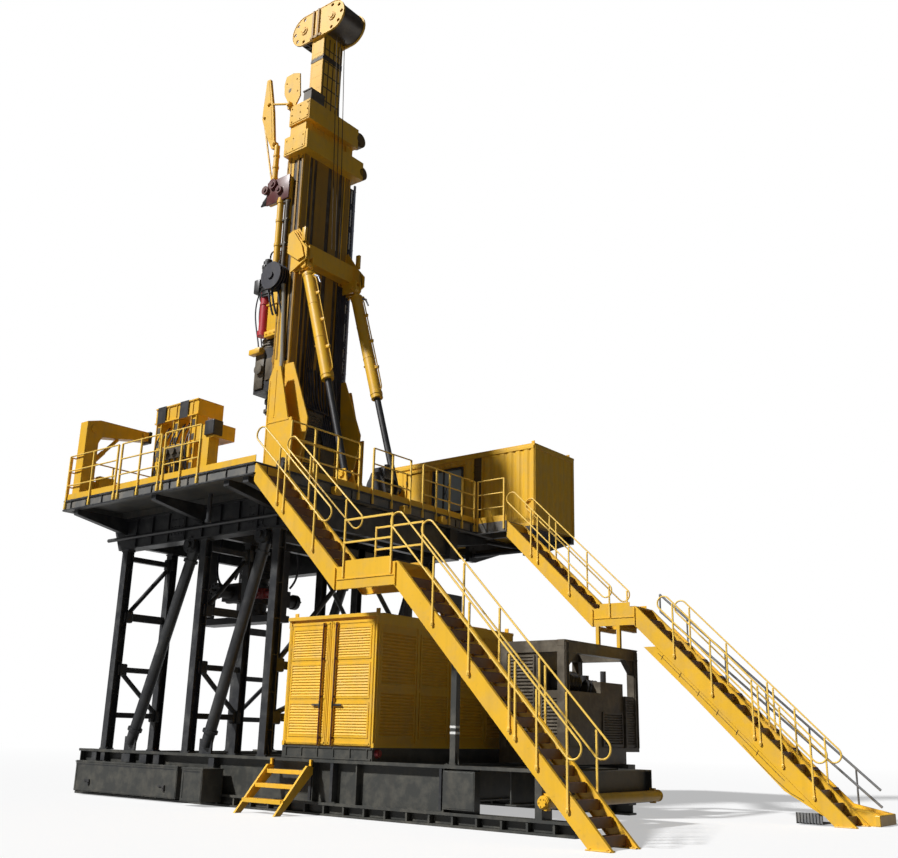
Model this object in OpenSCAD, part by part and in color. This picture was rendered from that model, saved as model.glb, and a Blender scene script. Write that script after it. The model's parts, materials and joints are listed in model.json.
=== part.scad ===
// Skid-mounted deep-hole drilling rig: raised drill floor, tilting telescopic mast,
// two stairs, power pack and cabin. Origin: middle of the skid, on the ground.
// X runs along the skid towards the stairs' feet, Y to the back, Z up.

/* [Skid] */
// Length of the skid
skid_len = 13400; // [12800:50:14400]
// Width of the skid over its side beams
skid_wid = 5600; // [5400:50:6000]
// Height of the skid's top flange above the ground
skid_top = 980; // [900:10:1100]
// Height of the ribbed runner under the side beams
runner_h = 190; // [120:10:240]
// Width of the side beam's flange
flange_w = 300; // [240:10:340]

/* [Drill floor] */
// Height of the walking surface
floor_top = 6600; // [6400:20:7000]
// Length of the floor along X
floor_len = 6740; // [6600:20:7000]
// Width of the floor along Y
floor_wid = 8180; // [8000:20:8400]
// Depth of the main girders under the floor
girder_h = 750; // [650:10:850]
// Height of the toe board
toe_h = 150; // [100:10:200]
// Height of the handrail above the floor
rail_h = 1100; // [1000:20:1200]
// Length of the small platform at the back stair
step_len = 935; // [900:5:1000]

/* [Substructure] */
// Side of a square column
column_w = 200; // [180:10:260]
// Diameter of a diagonal brace
brace_d = 250; // [180:10:280]
// Distance between the front and the back row of columns
column_gap = 5000; // [4800:20:5100]

/* [Mast] */
// Depth of the mast along X
mast_dep = 600; // [560:10:640]
// Width of the mast along Y
mast_wid = 1800; // [1740:10:1860]
// Top of the outer mast above the ground
mast_top = 17200; // [16800:50:17600]
// Height of the pivot above the floor
pivot_h = 880; // [860:10:920]
// Diameter of the pivot pin
pivot_d = 160; // [120:10:180]
// Height of the cylinder pin above the pivot
lift_arm = 5320; // [5200:10:5500]
// Width of the inner mast along Y
inner_wid = 740; // [700:10:780]
// Depth of the inner mast along X
inner_dep = 470; // [440:10:480]
// Height of the inner mast's head above the outer mast's top
inner_out = 3050; // [2900:50:3200]
// Length of a crown plate
crown_len = 2050; // [1900:10:2200]
// Height of a crown plate
crown_h = 950; // [900:10:1000]

/* [Stairs] */
// Width of a stair over its side plates
stair_wid = 800; // [760:10:900]
// Height of the half landing
landing_z = 4300; // [4100:20:4500]
// Length of the half landing
landing_len = 1420; // [1300:10:1600]
// Horizontal length of the upper flight
upper_run = 2430; // [2300:10:2600]
// Horizontal length of the lower flight
lower_run = 4050; // [3900:10:4300]
// Steps in the upper flight
upper_steps = 10; // [9:1:12]
// Steps in the lower flight
lower_steps = 19; // [17:1:22]

/* [Power pack] */
// Width of the power pack along X
pack_wid = 2350; // [2250:10:2450]
// Length of the power pack along Y
pack_len = 4400; // [4200:20:4500]
// Height of the power pack's housing
pack_h = 2420; // [2300:10:2500]
// Thickness of a door leaf
door_t = 50; // [40:5:60]

/* [Cabin] */
// Length of the cabin along X
cabin_len = 5200; // [5000:20:5400]
// Width of the cabin along Y
cabin_wid = 1900; // [1800:10:2100]
// Height of the cabin
cabin_h = 2120; // [2060:10:2200]
// Thickness of the cabin's walls
wall_t = 60; // [50:5:80]

/* [Hidden] */
$fn = 32;
gap = 0.4;                     // face to face clearance of pieces that only rest together
fit = 1;                       // radial clearance of a pin in its bore
slip = 0.5;                    // clearance of a guide pad on the inner mast

half_skid = skid_wid / 2;
beam_y = half_skid - flange_w / 2;
floor_x1 = 180;
floor_x0 = floor_x1 - floor_len;
floor_y = floor_wid / 2;
niche_x = 0.3567 * skid_len;
tail_x1 = skid_len / 2 - 600;
tail_y = 900;
edge_h = 250;
edge_t = 120;
plate_t = 40;
girder_top = floor_top - edge_h;
girder_bot = girder_top - girder_h;
girder_w = 300;
column_x = [for (k = [0.07, 0.51, 0.868]) floor_x0 + floor_len * k];
column_y = column_gap / 2;

rail_d = 34;
post_w = 38;
stair_post = 30;

mast_x = -2900;
mast_x1 = mast_x + mast_dep / 2;
mast_x0 = mast_x - mast_dep / 2;
mast_y = mast_wid / 2;
side_w = 250;
mast_bot = floor_top + 250;
pivot_x = mast_x1 + 450;
pivot_z = floor_top + pivot_h;
lift_y = mast_y - 20;
lift_x = mast_x1 + 400;
lift_z = pivot_z + lift_arm;
lift_d = 100;
barrel_d = 300;
barrel_len = 3400;
rod_d = 160;
eye_w = 120;
ear_off = rod_d / 2 + 40;
foot_pin_x = pivot_x + 1700;
foot_pin_z = floor_top + 500;
lift_dx = foot_pin_x - lift_x;
lift_dz = lift_z - foot_pin_z;
lift_len = sqrt(lift_dx * lift_dx + lift_dz * lift_dz);
lift_ang = atan2(lift_dx, lift_dz);
well_x = mast_x - 1250;

// A round bar from point p to point q
module rod(p, q, d, sides = 24) {
    v = q - p;
    translate(p)
        rotate([0, acos(v[2] / norm(v)), atan2(v[1], v[0])])
            cylinder(h = norm(v), d = d, $fn = sides);
}

// A box from corner a to corner b
module block(a, b) {
    translate([min(a[0], b[0]), min(a[1], b[1]), min(a[2], b[2])])
        cube([abs(b[0] - a[0]), abs(b[1] - a[1]), abs(b[2] - a[2])]);
}

// A box mirrored to both sides of the middle plane
module twin_block(a, b) {
    for (s = [-1, 1])
        block([a[0], s * a[1], a[2]], [b[0], s * b[1], b[2]]);
}

// An outline in the XZ plane, made thick from y0 to y1
module xz_plate(points, y0, y1) {
    translate([0, y1, 0])
        rotate([90, 0, 0])
            linear_extrude(height = y1 - y0)
                polygon(points);
}

// An outline in the YZ plane, made thick from x0 to x1
module yz_plate(points, x0, x1) {
    translate([x0, 0, 0])
        rotate([90, 0, 90])
            linear_extrude(height = x1 - x0)
                polygon(points);
}

// ---------------------------------------------------------------- skid
// Both long beams: a ribbed runner below, a plate girder above. The back beam ends
// behind the pump unit, the front one opens into a niche before its end post
module skid_beams() {
    web = 24;
    lip = 36;
    rib_pitch = 500;
    stiff_at = [-0.4985, 0.0716, 0.1545, 0.3052];
    post = 130;
    x0 = -skid_len / 2;
    panel_x = 0.3067 * skid_len;
    color("#3a3b37")
        for (s = [-1, 1]) {
            x1 = s < 0 ? skid_len / 2 : unit_x1 + 200;
            top_x1 = min(x1, tail_x1);
            web_x1 = min(x1, niche_x);
            union() {
                block([x0, s * beam_y - flange_w / 2, 0], [x1, s * beam_y + flange_w / 2, 40]);
                block([x0, s * beam_y - 15, 0], [x1, s * beam_y + 15, runner_h]);
                for (x = [x0 : rib_pitch : x1 - 40])
                    block([x, s * beam_y - flange_w / 2, 0],
                          [x + 40, s * beam_y + flange_w / 2, runner_h]);
                block([x0, s * beam_y - web / 2, runner_h], [web_x1, s * beam_y + web / 2, skid_top]);
                block([x0, s * beam_y - flange_w / 2, runner_h],
                      [x1, s * beam_y + flange_w / 2, runner_h + lip]);
                block([x0, s * beam_y - flange_w / 2, skid_top - lip],
                      [top_x1, s * beam_y + flange_w / 2, skid_top]);
                for (x = stiff_at * skid_len)
                    block([x, s * beam_y, runner_h], [x + 30, s * (half_skid - 20), skid_top]);
                block([top_x1 - post, s * beam_y - flange_w / 2, runner_h],
                      [top_x1, s * beam_y + flange_w / 2, skid_top]);
                if (s < 0)
                    block([panel_x, -half_skid, runner_h + 90], [niche_x, -beam_y, skid_top - 80]);
            }
        }
}

module skid_cross_beams() {
    cross_at = [-0.485, -0.343, -0.142, 0.097, 0.194];
    tail_at = [0.313 * skid_len, 0.3955 * skid_len, tail_x1 - 110];
    h = 560;
    w = 220;
    web_y = beam_y - 12;
    z1 = skid_top - 36;
    color("#33342f") {
        for (x = concat(column_x, cross_at * skid_len))
            union() {
                block([x - 12, -web_y, z1 - h], [x + 12, web_y, z1]);
                for (z = [z1 - h, z1 - 24])
                    block([x - w / 2, -web_y, z], [x + w / 2, web_y, z + 24]);
            }
        union() {
            for (k = [0 : 2]) {
                y1 = k == 0 ? web_y : tail_y;
                y0 = tail_at[k] > niche_x - 120 ? half_skid - flange_w : web_y;
                block([tail_at[k] - 12, -y0, z1 - h], [tail_at[k] + 12, y1, z1]);
                for (z = [z1 - h, z1 - 24])
                    block([tail_at[k] - w / 2, -y0, z], [tail_at[k] + w / 2, y1, z + 24]);
            }
            block([tail_at[0], tail_y - 12, z1 - h], [tail_x1, tail_y + 12, z1]);
        }
        block([-300, -beam_y + flange_w / 2, 0], [300, beam_y - flange_w / 2, 120]);
    }
}

module tool_boxes() {
    z0 = 80;
    z1 = 700;
    color("#55544a")
        for (b = [[-skid_len / 2 + 300, -2720, 230], [-2200, -1550, 520]])
            union() {
                block([b[0], -half_skid - b[2], z0], [b[1], -half_skid, z1]);
                block([b[0] - 20, -half_skid - b[2] - 20, z1], [b[1] + 20, -half_skid, z1 + 20]);
            }
}

module access_ladder() {
    x0 = -120;
    x1 = 1000;
    run = 900;
    top = 860;
    deep = 150;
    y_top = -half_skid - 5;
    color("#f2b51f")
        union() {
            for (x = [x0, x1 - 50])
                yz_plate([[y_top - run, 0], [y_top - run + deep, 0], [y_top, top - deep],
                          [y_top, top], [y_top - deep, top]], x, x + 50);
            for (k = [0.13, 0.42, 0.72])
                block([x0, y_top - run * k - 60, top * (1 - k) - 20],
                      [x1, y_top - run * k + 110, top * (1 - k) + 20]);
            for (x = [x0, x1 - 50])
                block([x, y_top - 60, top - 60], [x + 50, y_top + 5, skid_top - 10]);
        }
}

module tail_roller() {
    d = 190;
    x = tail_x1 + d / 2 + 10;
    z = 500;
    color("#e9ae22")
        union() {
            rod([x, -half_skid - 140, z], [x, tail_y + 50, z], d, 48);
            for (y = [-half_skid + 40, tail_y - 100])
                block([tail_x1, y, z - 130], [x, y + 60, z + 130]);
        }
}

// ---------------------------------------------------------------- substructure
module h_column(x, y, z0, z1) {
    web = 20;
    union() {
        block([x - web / 2, y - column_w / 2, z0], [x + web / 2, y + column_w / 2, z1]);
        for (s = [-1, 1])
            block([x - column_w / 2, y + s * (column_w / 2 - 12) - 12, z0],
                  [x + column_w / 2, y + s * (column_w / 2 - 12) + 12, z1]);
        for (z = [z0, z1 - 30])
            block([x - column_w / 2 - 40, y - column_w / 2, z],
                  [x + column_w / 2 + 40, y + column_w / 2, z + 30]);
    }
}

module columns() {
    color("#26272a")
        for (x = column_x, s = [-1, 1])
            h_column(x, s * column_y, skid_top, girder_bot);
}

// Two leaning pipes of a column row, with their foot and head plates
module brace_row(y) {
    z0 = skid_top;
    z1 = girder_bot;
    for (p = [[column_x[1] - 400, column_x[0] + 900], [column_x[2] - 400, column_x[1] + 590]])
        union() {
            rod([p[0], y, z1 - 150], [p[1], y, z0 + 150], brace_d);
            block([p[0] - 150, y - 20, z1 - 300], [p[0] + 150, y + 20, z1]);
            block([p[1] - 200, y - 20, z0], [p[1] + 200, y + 20, z0 + 300]);
        }
}

module braces() {
    color("#2c2d30") {
        brace_row(-column_y);
        brace_row(column_y);
    }
}

// Ladder frames from each outer column to an inner one, and the cross frame at the X end
module end_frames() {
    y = column_y - column_w / 2;
    y_in = column_y - 1300;
    rise = girder_bot - skid_top;
    level = [skid_top + 0.165 * rise, skid_top + 0.39 * rise, skid_top + 0.96 * rise];
    x_end = column_x[2];
    color("#2c2d30") {
        for (x = [column_x[0], column_x[1]], s = [-1, 1])
            union() {
                h_column(x, s * y_in, skid_top - 36, girder_bot + 100);
                for (z = level)
                    block([x - 60, s * y_in, z - 60], [x + 60, s * y, z + 60]);
                rod([x, s * (y - 60), level[1] - 60], [x, s * (y_in + 60), level[0] + 60], 110);
                rod([x, s * (y - 60), level[1] + 1300], [x, s * (y_in + 60), level[2] - 60], 110);
                block([x - 40, s * (y_in + 60), level[1] + 1150], [x + 40, s * y, level[1] + 1330]);
            }
        union() {
            for (z = level)
                block([x_end - 60, -y, z - 80], [x_end + 60, y, z + 80]);
            for (k = [0, 1], s = [-1, 1])
                rod([x_end, s * (y - 60), level[k] + 60], [x_end, 0, level[k + 1] - 60], 110);
        }
    }
}

// Two main girders with tapered ends, and the cross girders with their outer brackets
module floor_girders() {
    w = 160;
    inner = column_y - girder_w / 2;
    outer = column_y + girder_w / 2;
    color("#1d1e21")
        union() {
            for (s = [-1, 1])
                xz_plate([[floor_x0, girder_top], [floor_x0, girder_top - 180],
                          [column_x[0] - column_w, girder_bot], [floor_x1 - 100, girder_bot],
                          [floor_x1 - 100, girder_top]],
                         s * column_y - girder_w / 2, s * column_y + girder_w / 2);
            for (x = concat(column_x, [floor_x1 - 300])) {
                block([x - w / 2, -inner, girder_bot + 100], [x + w / 2, inner, girder_top]);
                for (s = [-1, 1])
                    yz_plate([[s * outer, girder_top], [s * outer, girder_top - 380],
                              [s * (floor_y - 40), girder_top - 120],
                              [s * (floor_y - 40), girder_top]], x - w / 2, x + w / 2);
            }
        }
}

// Edge channel, joists and plate of the drill floor with its well opening
module drill_floor() {
    z0 = girder_top;
    z1 = floor_top - plate_t;
    hole = 500;
    y_step = floor_y - stair_wid - 30;
    color("#6f7173")
        difference() {
            union() {
                for (s = [-1, 1])
                    block([floor_x0, s * floor_y, z0], [floor_x1, s * (floor_y - edge_t), z1]);
                for (x = [floor_x0, floor_x1 - edge_t])
                    block([x, -floor_y, z0], [x + edge_t, floor_y, z1]);
                for (y = [-column_y, -510, 510, column_y])
                    block([floor_x0, y - 60, z0], [floor_x1, y + 60, z1]);
                block([floor_x1 + step_len - edge_t, y_step, z0], [floor_x1 + step_len, floor_y, z1]);
                for (y = [y_step, floor_y - edge_t])
                    block([floor_x1 - 10, y, z0], [floor_x1 + step_len, y + edge_t, z1]);
                block([floor_x0, -floor_y, z1], [floor_x1, floor_y, floor_top]);
                block([floor_x1 - 10, y_step, z1], [floor_x1 + step_len, floor_y, floor_top]);
            }
            translate([well_x, 0, z1 - 10]) cylinder(h = plate_t + 20, d = hole, $fn = 64);
        }
}

module toe_boards() {
    t = 12;
    z0 = floor_top;
    z1 = floor_top + toe_h;
    y_stair = floor_y - stair_wid - 30;
    color("#f2b51f") {
        union() {
            block([floor_x0, -floor_y, z0], [floor_x1, -floor_y + t, z1]);
            block([floor_x0, -floor_y, z0], [floor_x0 + t, floor_y, z1]);
            block([floor_x0, floor_y - t, z0], [cabin_x0, floor_y, z1]);
        }
        union() {
            block([floor_x1 - t, -y_stair, z0], [floor_x1, y_stair, z1]);
            block([floor_x1 - t, y_stair, z0], [floor_x1 + step_len, y_stair + t, z1]);
        }
    }
}

module front_pipe() {
    z = girder_bot + 270;
    y = -column_y - girder_w / 2 - 65;
    color("#5b5d60")
        union() {
            rod([floor_x0 - 100, y, z], [floor_x0 + 6300, y, z], 90);
            for (x = [floor_x0 + 900, floor_x0 + 2600, floor_x0 + 4700, floor_x0 + 6100])
                block([x, y, z - 15], [x + 60, -column_y - girder_w / 2, z + 15]);
        }
}

// A straight handrail between two points on the floor's edge; out is the outward direction
module handrail(p, q, n, out = [0, -1]) {
    d = (q - p) / norm(q - p);
    c = [out[0] * post_w / 2, out[1] * post_w / 2];
    for (k = [0 : n - 1]) {
        at = p + (q - p) * k / (n - 1) + c;
        block([at[0] - post_w / 2, at[1] - post_w / 2, floor_top - 200],
              [at[0] + post_w / 2, at[1] + post_w / 2, floor_top + rail_h - rail_d / 2]);
    }
    for (z = [0.34, 0.67, 1])
        rod([p[0] + c[0], p[1] + c[1], floor_top + z * rail_h - rail_d / 2],
            [q[0] + c[0], q[1] + c[1], floor_top + z * rail_h - rail_d / 2], rail_d);
}

module floor_rails() {
    pass = barrel_d / 2 + 80;
    y_stair = floor_y - stair_wid - 30;
    color("#f4c243") {
        handrail([floor_x0 + 60, -floor_y], [floor_x0 + 2000, -floor_y], 3);
        handrail([floor_x0 + 2150, -floor_y], [floor_x0 + 3600, -floor_y], 3);
        handrail([floor_x0 + 3750, -floor_y], [floor_x0 + 4950, -floor_y], 3);
        handrail([floor_x0, -floor_y + 60], [floor_x0, floor_y - 60], 8, [-1, 0]);
        handrail([floor_x0 + 60, floor_y], [cabin_x0 - 150, floor_y], 3, [0, 1]);
        handrail([floor_x1, -y_stair + 60], [floor_x1, -lift_y - pass], 4, [1, 0]);
        handrail([floor_x1, -lift_y + pass], [floor_x1, lift_y - pass], 3, [1, 0]);
        handrail([floor_x1, lift_y + pass], [floor_x1, y_stair - 100], 5, [1, 0]);
        handrail([floor_x1 + 60, y_stair], [floor_x1 + step_len - 60, y_stair], 2);
    }
}

// ---------------------------------------------------------------- stairs
stair_h = 400;
stair_t = 60;
landing_h = 280;
stair_1_x = floor_x1 + gap;
stair_1_y = -floor_y;
stair_2_x = floor_x1 + step_len + gap;
stair_2_y = floor_y - stair_wid;
upper_slope = (floor_top - landing_z) / upper_run;
flat_1 = landing_len;
flat_2 = landing_len - 360;

// Horizontal length and slope of a lower flight below a landing of the given length
function down_run(flat) = landing_len + lower_run - flat;
function down_slope(flat) = landing_z / down_run(flat);

// One side of a stair in its own XZ plane: upper flight, landing beam and lower flight
module stair_side(y0, y1, h0, h1, flat) {
    x1 = upper_run;
    x2 = upper_run + flat;
    x3 = x2 + down_run(flat);
    d0 = 60 * h0 / stair_h;
    d1 = 60 * h1 / stair_h;
    xz_plate([[0, floor_top - h0], [x1 - d0, landing_z - h0], [x2 - d0, landing_z - h0],
              [x3 - h0 / down_slope(flat), 0], [x3 - h1 / down_slope(flat), 0],
              [x2 - d1, landing_z - h1], [x1 - d1, landing_z - h1], [0, floor_top - h1]],
             y0, y1);
}

module stair_sides(x, y, flat) {
    translate([x, y, 0])
        color("#f2b51f")
            union() {
                stair_side(0, 14, 0, stair_h, flat);
                stair_side(stair_wid - 14, stair_wid, 0, stair_h, flat);
                for (f = [[0, 16], [stair_h - 16, stair_h]]) {
                    stair_side(0, stair_t, f[0], f[1], flat);
                    stair_side(stair_wid - stair_t, stair_wid, f[0], f[1], flat);
                }
                block([upper_run, 14, landing_z - 30],
                      [upper_run + flat, stair_wid - 14, landing_z]);
                block([0, 14, floor_top - 270], [16, stair_wid - 14, floor_top - 20]);
            }
}

// Treads of both flights, each a plate between the webs of the side plates
module treads_at(x, y, flat) {
    up = (floor_top - landing_z) / upper_steps;
    down = landing_z / lower_steps;
    go_up = upper_run / upper_steps;
    go_down = down_run(flat) / lower_steps;
    x2 = upper_run + flat;
    translate([x, y, 0]) {
        for (k = [1 : upper_steps - 1])
            tread(go_up * k, floor_top - up * k, go_up);
        for (k = [1 : lower_steps - 1])
            tread(x2 + go_down * k, landing_z - down * k, go_down);
    }
}

module tread(x, z, going) {
    top = z - 60;
    x0 = x - going + 6;
    union() {
        block([x0, 14, top - 12], [x, stair_wid - 14, top]);
        block([x - 12, 14, top - 135], [x, stair_wid - 14, top]);
        block([x0, 14, top - 60], [x0 + 12, stair_wid - 14, top]);
    }
}

module stair_treads() {
    color("#4a3a22") {
        treads_at(stair_1_x, stair_1_y, flat_1);
        treads_at(stair_2_x, stair_2_y, flat_2);
    }
}

// Two parallel bars joined by round ends, along a slope in the XZ plane
module looped_rail(p, q, spread) {
    v = q - p;
    len = norm(v);
    ang = atan2(-v[1], v[0]);
    translate([p[0], 0, p[1]])
        rotate([0, ang, 0]) {
            for (z = [0, -spread])
                translate([0, 0, z]) rotate([0, 90, 0]) cylinder(h = len, d = rail_d);
            for (e = [[0, -90], [len, 90]])
                translate([e[0], 0, -spread / 2])
                    rotate([90, e[1], 0])
                        rotate_extrude(angle = 180)
                            translate([spread / 2, 0]) circle(d = rail_d);
        }
}

// Handrails of one side of a stair, in the plane y = 0; the upper one runs on past the
// landing's edge by over, the lower one starts past the landing's other end by skip
module side_rails(first, flat, over, skip) {
    high = 900;
    spread = 300;
    x2 = upper_run + flat;
    x3 = x2 + down_run(flat);
    slope = down_slope(flat);
    last = upper_run + over;
    looped_rail([first, floor_top + high - first * upper_slope],
                [last, landing_z + high - over * upper_slope], spread);
    looped_rail([x2 + skip, landing_z + high - skip * slope],
                [x3 - 500, high + 500 * slope], spread);
    for (x = [first + 450, 900, 1770])
        rail_post(x, floor_top - x * upper_slope - 300, floor_top + high - x * upper_slope - 50);
    if (over > 0)
        rail_post(last - stair_post, landing_z - 200, landing_z + high - over * upper_slope - 20);
    for (k = [0.197, 0.383, 0.575, 0.602, 0.697, 0.825]) {
        drop = down_run(flat) * k * slope;
        rail_post(x2 + down_run(flat) * k, landing_z - drop - 300, landing_z + high - drop - 50);
    }
}

module rail_post(x, z0, z1) {
    block([x, -stair_post / 2, z0], [x + stair_post, stair_post / 2, z1]);
}

// The square rail of the landing, in the plane y = 0
module landing_rail(flat) {
    x0 = upper_run + 150;
    x1 = upper_run + flat - 150;
    for (x = [x0, x1])
        rail_post(x, landing_z - 200, landing_z + 850);
    for (z = [420, 830])
        block([x0, -rail_d / 2, landing_z + z - rail_d / 2],
              [x1, rail_d / 2, landing_z + z + rail_d / 2]);
}

module stair_rails(x, y, flat, over, skip, square) {
    color("#f4c243")
        for (side = [-stair_post / 2, stair_wid + stair_post / 2])
            translate([x, y + side, 0]) {
                side_rails(260, flat, over, skip);
                if (square)
                    landing_rail(flat);
            }
}

module stair_1_sides() {
    stair_sides(stair_1_x, stair_1_y, flat_1);
}

module stair_1_rails() {
    stair_rails(stair_1_x, stair_1_y, flat_1, -250, 100, true);
}

module stair_2_sides() {
    stair_sides(stair_2_x, stair_2_y, flat_2);
}

module stair_2_rails() {
    stair_rails(stair_2_x, stair_2_y, flat_2, 425, 790, false);
}

// The cross channels and legs that carry the back stair's half landing on the pump unit
module landing_frame() {
    w = 80;
    top = landing_z - stair_h;
    color("#f2b51f")
        for (x = [stair_2_x + upper_run + 35, stair_2_x + upper_run + 565])
            union() {
                block([x, stair_2_y, top - 100], [x + w, stair_2_y + stair_wid, top]);
                block([x, stair_2_y, unit_z1], [x + w, stair_2_y + w, top]);
            }
}

// The grey post on the skid that steadies the front stair's half landing
module landing_post() {
    x = stair_1_x + upper_run + landing_len + 150;
    y = -half_skid + 80;
    w = 115;
    z1 = landing_z - 450;
    color("#5d5e58")
        union() {
            block([x, y, skid_top], [x + w, y + w, z1]);
            block([x - 60, y - 60, skid_top], [x + w + 60, y + w + 60, skid_top + 20]);
            block([x, stair_1_y + stair_wid, z1 - 140], [x + w, y + w, z1]);
        }
}

// The pipe slide behind the back stair, and the belly beam under the stair's near side;
// ramp_z is the stair's underside, t runs from the landing's end down the flight
flat_z = landing_z - stair_h;
foot_t = down_run(flat_2) - stair_h / down_slope(flat_2);
function ramp_z(t) = flat_z * (foot_t - t) / (foot_t + 60);

module pipe_ramp() {
    x2 = stair_2_x + upper_run + flat_2;
    len = foot_t - 200;
    beam_t = 60;
    deep = 260;
    rise = 160;
    side = 330;
    y0 = stair_2_y;
    y1 = stair_2_y + stair_wid + 45;
    y2 = y1 + 950;
    toe = down_run(flat_2) + 150;
    color("#f2b51f")
        union() {
            xz_plate([for (p = [[0.11, 8], [0.95, 8], [0.885, 110], [0.77, deep + 30],
                                [0.6, deep + 10], [0.3, deep - 10]])
                          [x2 + p[0] * foot_t, ramp_z(p[0] * foot_t) - p[1]],
                      [x2 + 165, ramp_z(0.11 * foot_t) - 8]], y0, y0 + beam_t);
            for (y = [y1, y2])
                xz_plate([[x2, ramp_z(0) + rise], [x2 + len, ramp_z(len) + rise],
                          [x2 + toe, 200], [x2 + toe, 0], [x2 + len, 0],
                          [x2 + len, ramp_z(len) + rise - side], [x2, ramp_z(0) + rise - side]],
                         y, y + beam_t - 20);
            xz_plate([[x2, ramp_z(0) + rise - 60], [x2 + len, ramp_z(len) + rise - 60],
                      [x2 + toe, 150], [x2 + toe, 120], [x2 + len, ramp_z(len) + rise - 90],
                      [x2, ramp_z(0) + rise - 90]], y1, y2 + 20);
            block([x2 + toe - 60, y1, 0], [x2 + toe, y2 + 20, 170]);
            for (k = [0.25, 0.5, 0.75])
                block([x2 + k * foot_t - 20, y0, ramp_z(k * foot_t) - 160],
                      [x2 + k * foot_t + 20, y2, ramp_z(k * foot_t) - 90]);
            block([x2 + 20, stair_2_y + stair_wid, flat_z - 150], [x2 + 120, y1 + 10, flat_z + 50]);
        }
}

// ---------------------------------------------------------------- cabin
cabin_x1 = floor_x1 + 1180;
cabin_x0 = cabin_x1 - cabin_len;
cabin_y0 = floor_y + 60;
cabin_y1 = cabin_y0 + cabin_wid;
window_x = cabin_x0 + 1900;
window_w = 950;
window_z = floor_top + 650;
window_h = 1150;
doorway_x = cabin_x0 + 900;
doorway_w = 800;
doorway_h = 1900;

module cabin_shell() {
    color("#eeb224")
        difference() {
            block([cabin_x0, cabin_y0, floor_top], [cabin_x1, cabin_y1, floor_top + cabin_h]);
            block([cabin_x0 + wall_t, cabin_y0 + wall_t, floor_top + wall_t],
                  [cabin_x1 - wall_t, cabin_y1 - wall_t, floor_top + cabin_h + 10]);
            block([window_x, cabin_y0 - 10, window_z],
                  [window_x + window_w, cabin_y0 + wall_t + 10, window_z + window_h]);
            block([doorway_x, cabin_y0 - 10, floor_top + wall_t],
                  [doorway_x + doorway_w, cabin_y0 + wall_t + 10, floor_top + doorway_h]);
        }
}

module cabin_roof() {
    z = floor_top + cabin_h;
    color("#e0a820")
        block([cabin_x0 - 20, cabin_y0 - 20, z], [cabin_x1 + 20, cabin_y1 + 20, z + 50]);
}

module cabin_window() {
    color("#8fa6b2")
        block([window_x, cabin_y0 + 20, window_z],
              [window_x + window_w, cabin_y0 + 40, window_z + window_h]);
}

module cabin_brackets() {
    color("#1d1e21")
        union() {
            for (x = [column_x[1], column_x[2], cabin_x1 - 250])
                yz_plate([[floor_y, floor_top], [floor_y, girder_bot + 250],
                          [floor_y + 300, girder_bot + 250], [cabin_y1, floor_top - 200],
                          [cabin_y1, floor_top]], x - 60, x + 60);
            for (y = [floor_y, cabin_y1 - 150])
                block([cabin_x0, y, floor_top - 200], [cabin_x1, y + 150, floor_top]);
        }
}

// ---------------------------------------------------------------- power pack and pumps
pack_x0 = 120;
pack_y0 = -half_skid;
pack_z0 = skid_top + 240;
pack_z1 = pack_z0 + pack_h;
door_w = pack_wid / 2 - 70;
door_z0 = pack_z0 + 30;
door_z1 = pack_z1 - 110;
hinge_d = 40;

module power_pack_housing() {
    post = 60 - hinge_d / 2 - 0.5;
    wall = 60;
    room = 900;
    y_in = pack_y0 + door_t + 10;
    color("#f0b322")
        union() {
            difference() {
                block([pack_x0, y_in, pack_z0],
                      [pack_x0 + pack_wid, pack_y0 + pack_len, pack_z1 - 60]);
                block([pack_x0 + wall, y_in - 1, pack_z0 + wall],
                      [pack_x0 + pack_wid - wall, y_in + room, pack_z1 - 60 - wall]);
            }
            block([pack_x0 - 20, pack_y0 - 20, pack_z1 - 60],
                  [pack_x0 + pack_wid + 20, pack_y0 + pack_len + 20, pack_z1]);
            for (x = [pack_x0, pack_x0 + pack_wid - post])
                block([x, pack_y0, pack_z0], [x + post, pack_y0 + door_t + 20, pack_z1 - 60]);
        }
}

module power_pack_base() {
    color("#4a4b48")
        block([pack_x0, pack_y0, skid_top], [pack_x0 + pack_wid, pack_y0 + pack_len, pack_z0]);
}

// A louvred door leaf; hand is 1 for the leaf hinged on the low X side
module door_leaf(hand) {
    x_hinge = hand > 0 ? pack_x0 + 60 : pack_x0 + pack_wid - 60;
    color("#f4b928")
        union() {
            block([x_hinge, pack_y0, door_z0], [x_hinge + hand * door_w, pack_y0 + door_t, door_z1]);
            translate([x_hinge, pack_y0, door_z0])
                cylinder(h = door_z1 - door_z0, d = hinge_d);
            rod([x_hinge + hand * (door_w - 160), pack_y0 - 30, door_z0 - 20],
                [x_hinge + hand * (door_w - 160), pack_y0 - 30, door_z1 - 20], 36);
            for (z = [door_z0 + 60, (door_z0 + door_z1) / 2, door_z1 - 120])
                block([x_hinge + hand * (door_w - 185), pack_y0 - 40, z],
                      [x_hinge + hand * (door_w - 135), pack_y0 + 5, z + 40]);
        }
}

module power_pack_door_left() {
    door_leaf(1);
}

module power_pack_door_right() {
    door_leaf(-1);
}

unit_x0 = pack_x0 + pack_wid + 530;
unit_x1 = unit_x0 + 1550;
unit_y0 = 400;
unit_y1 = stair_2_y + 90;
unit_z0 = skid_top + 240;
unit_z1 = unit_z0 + 2120;

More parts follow.
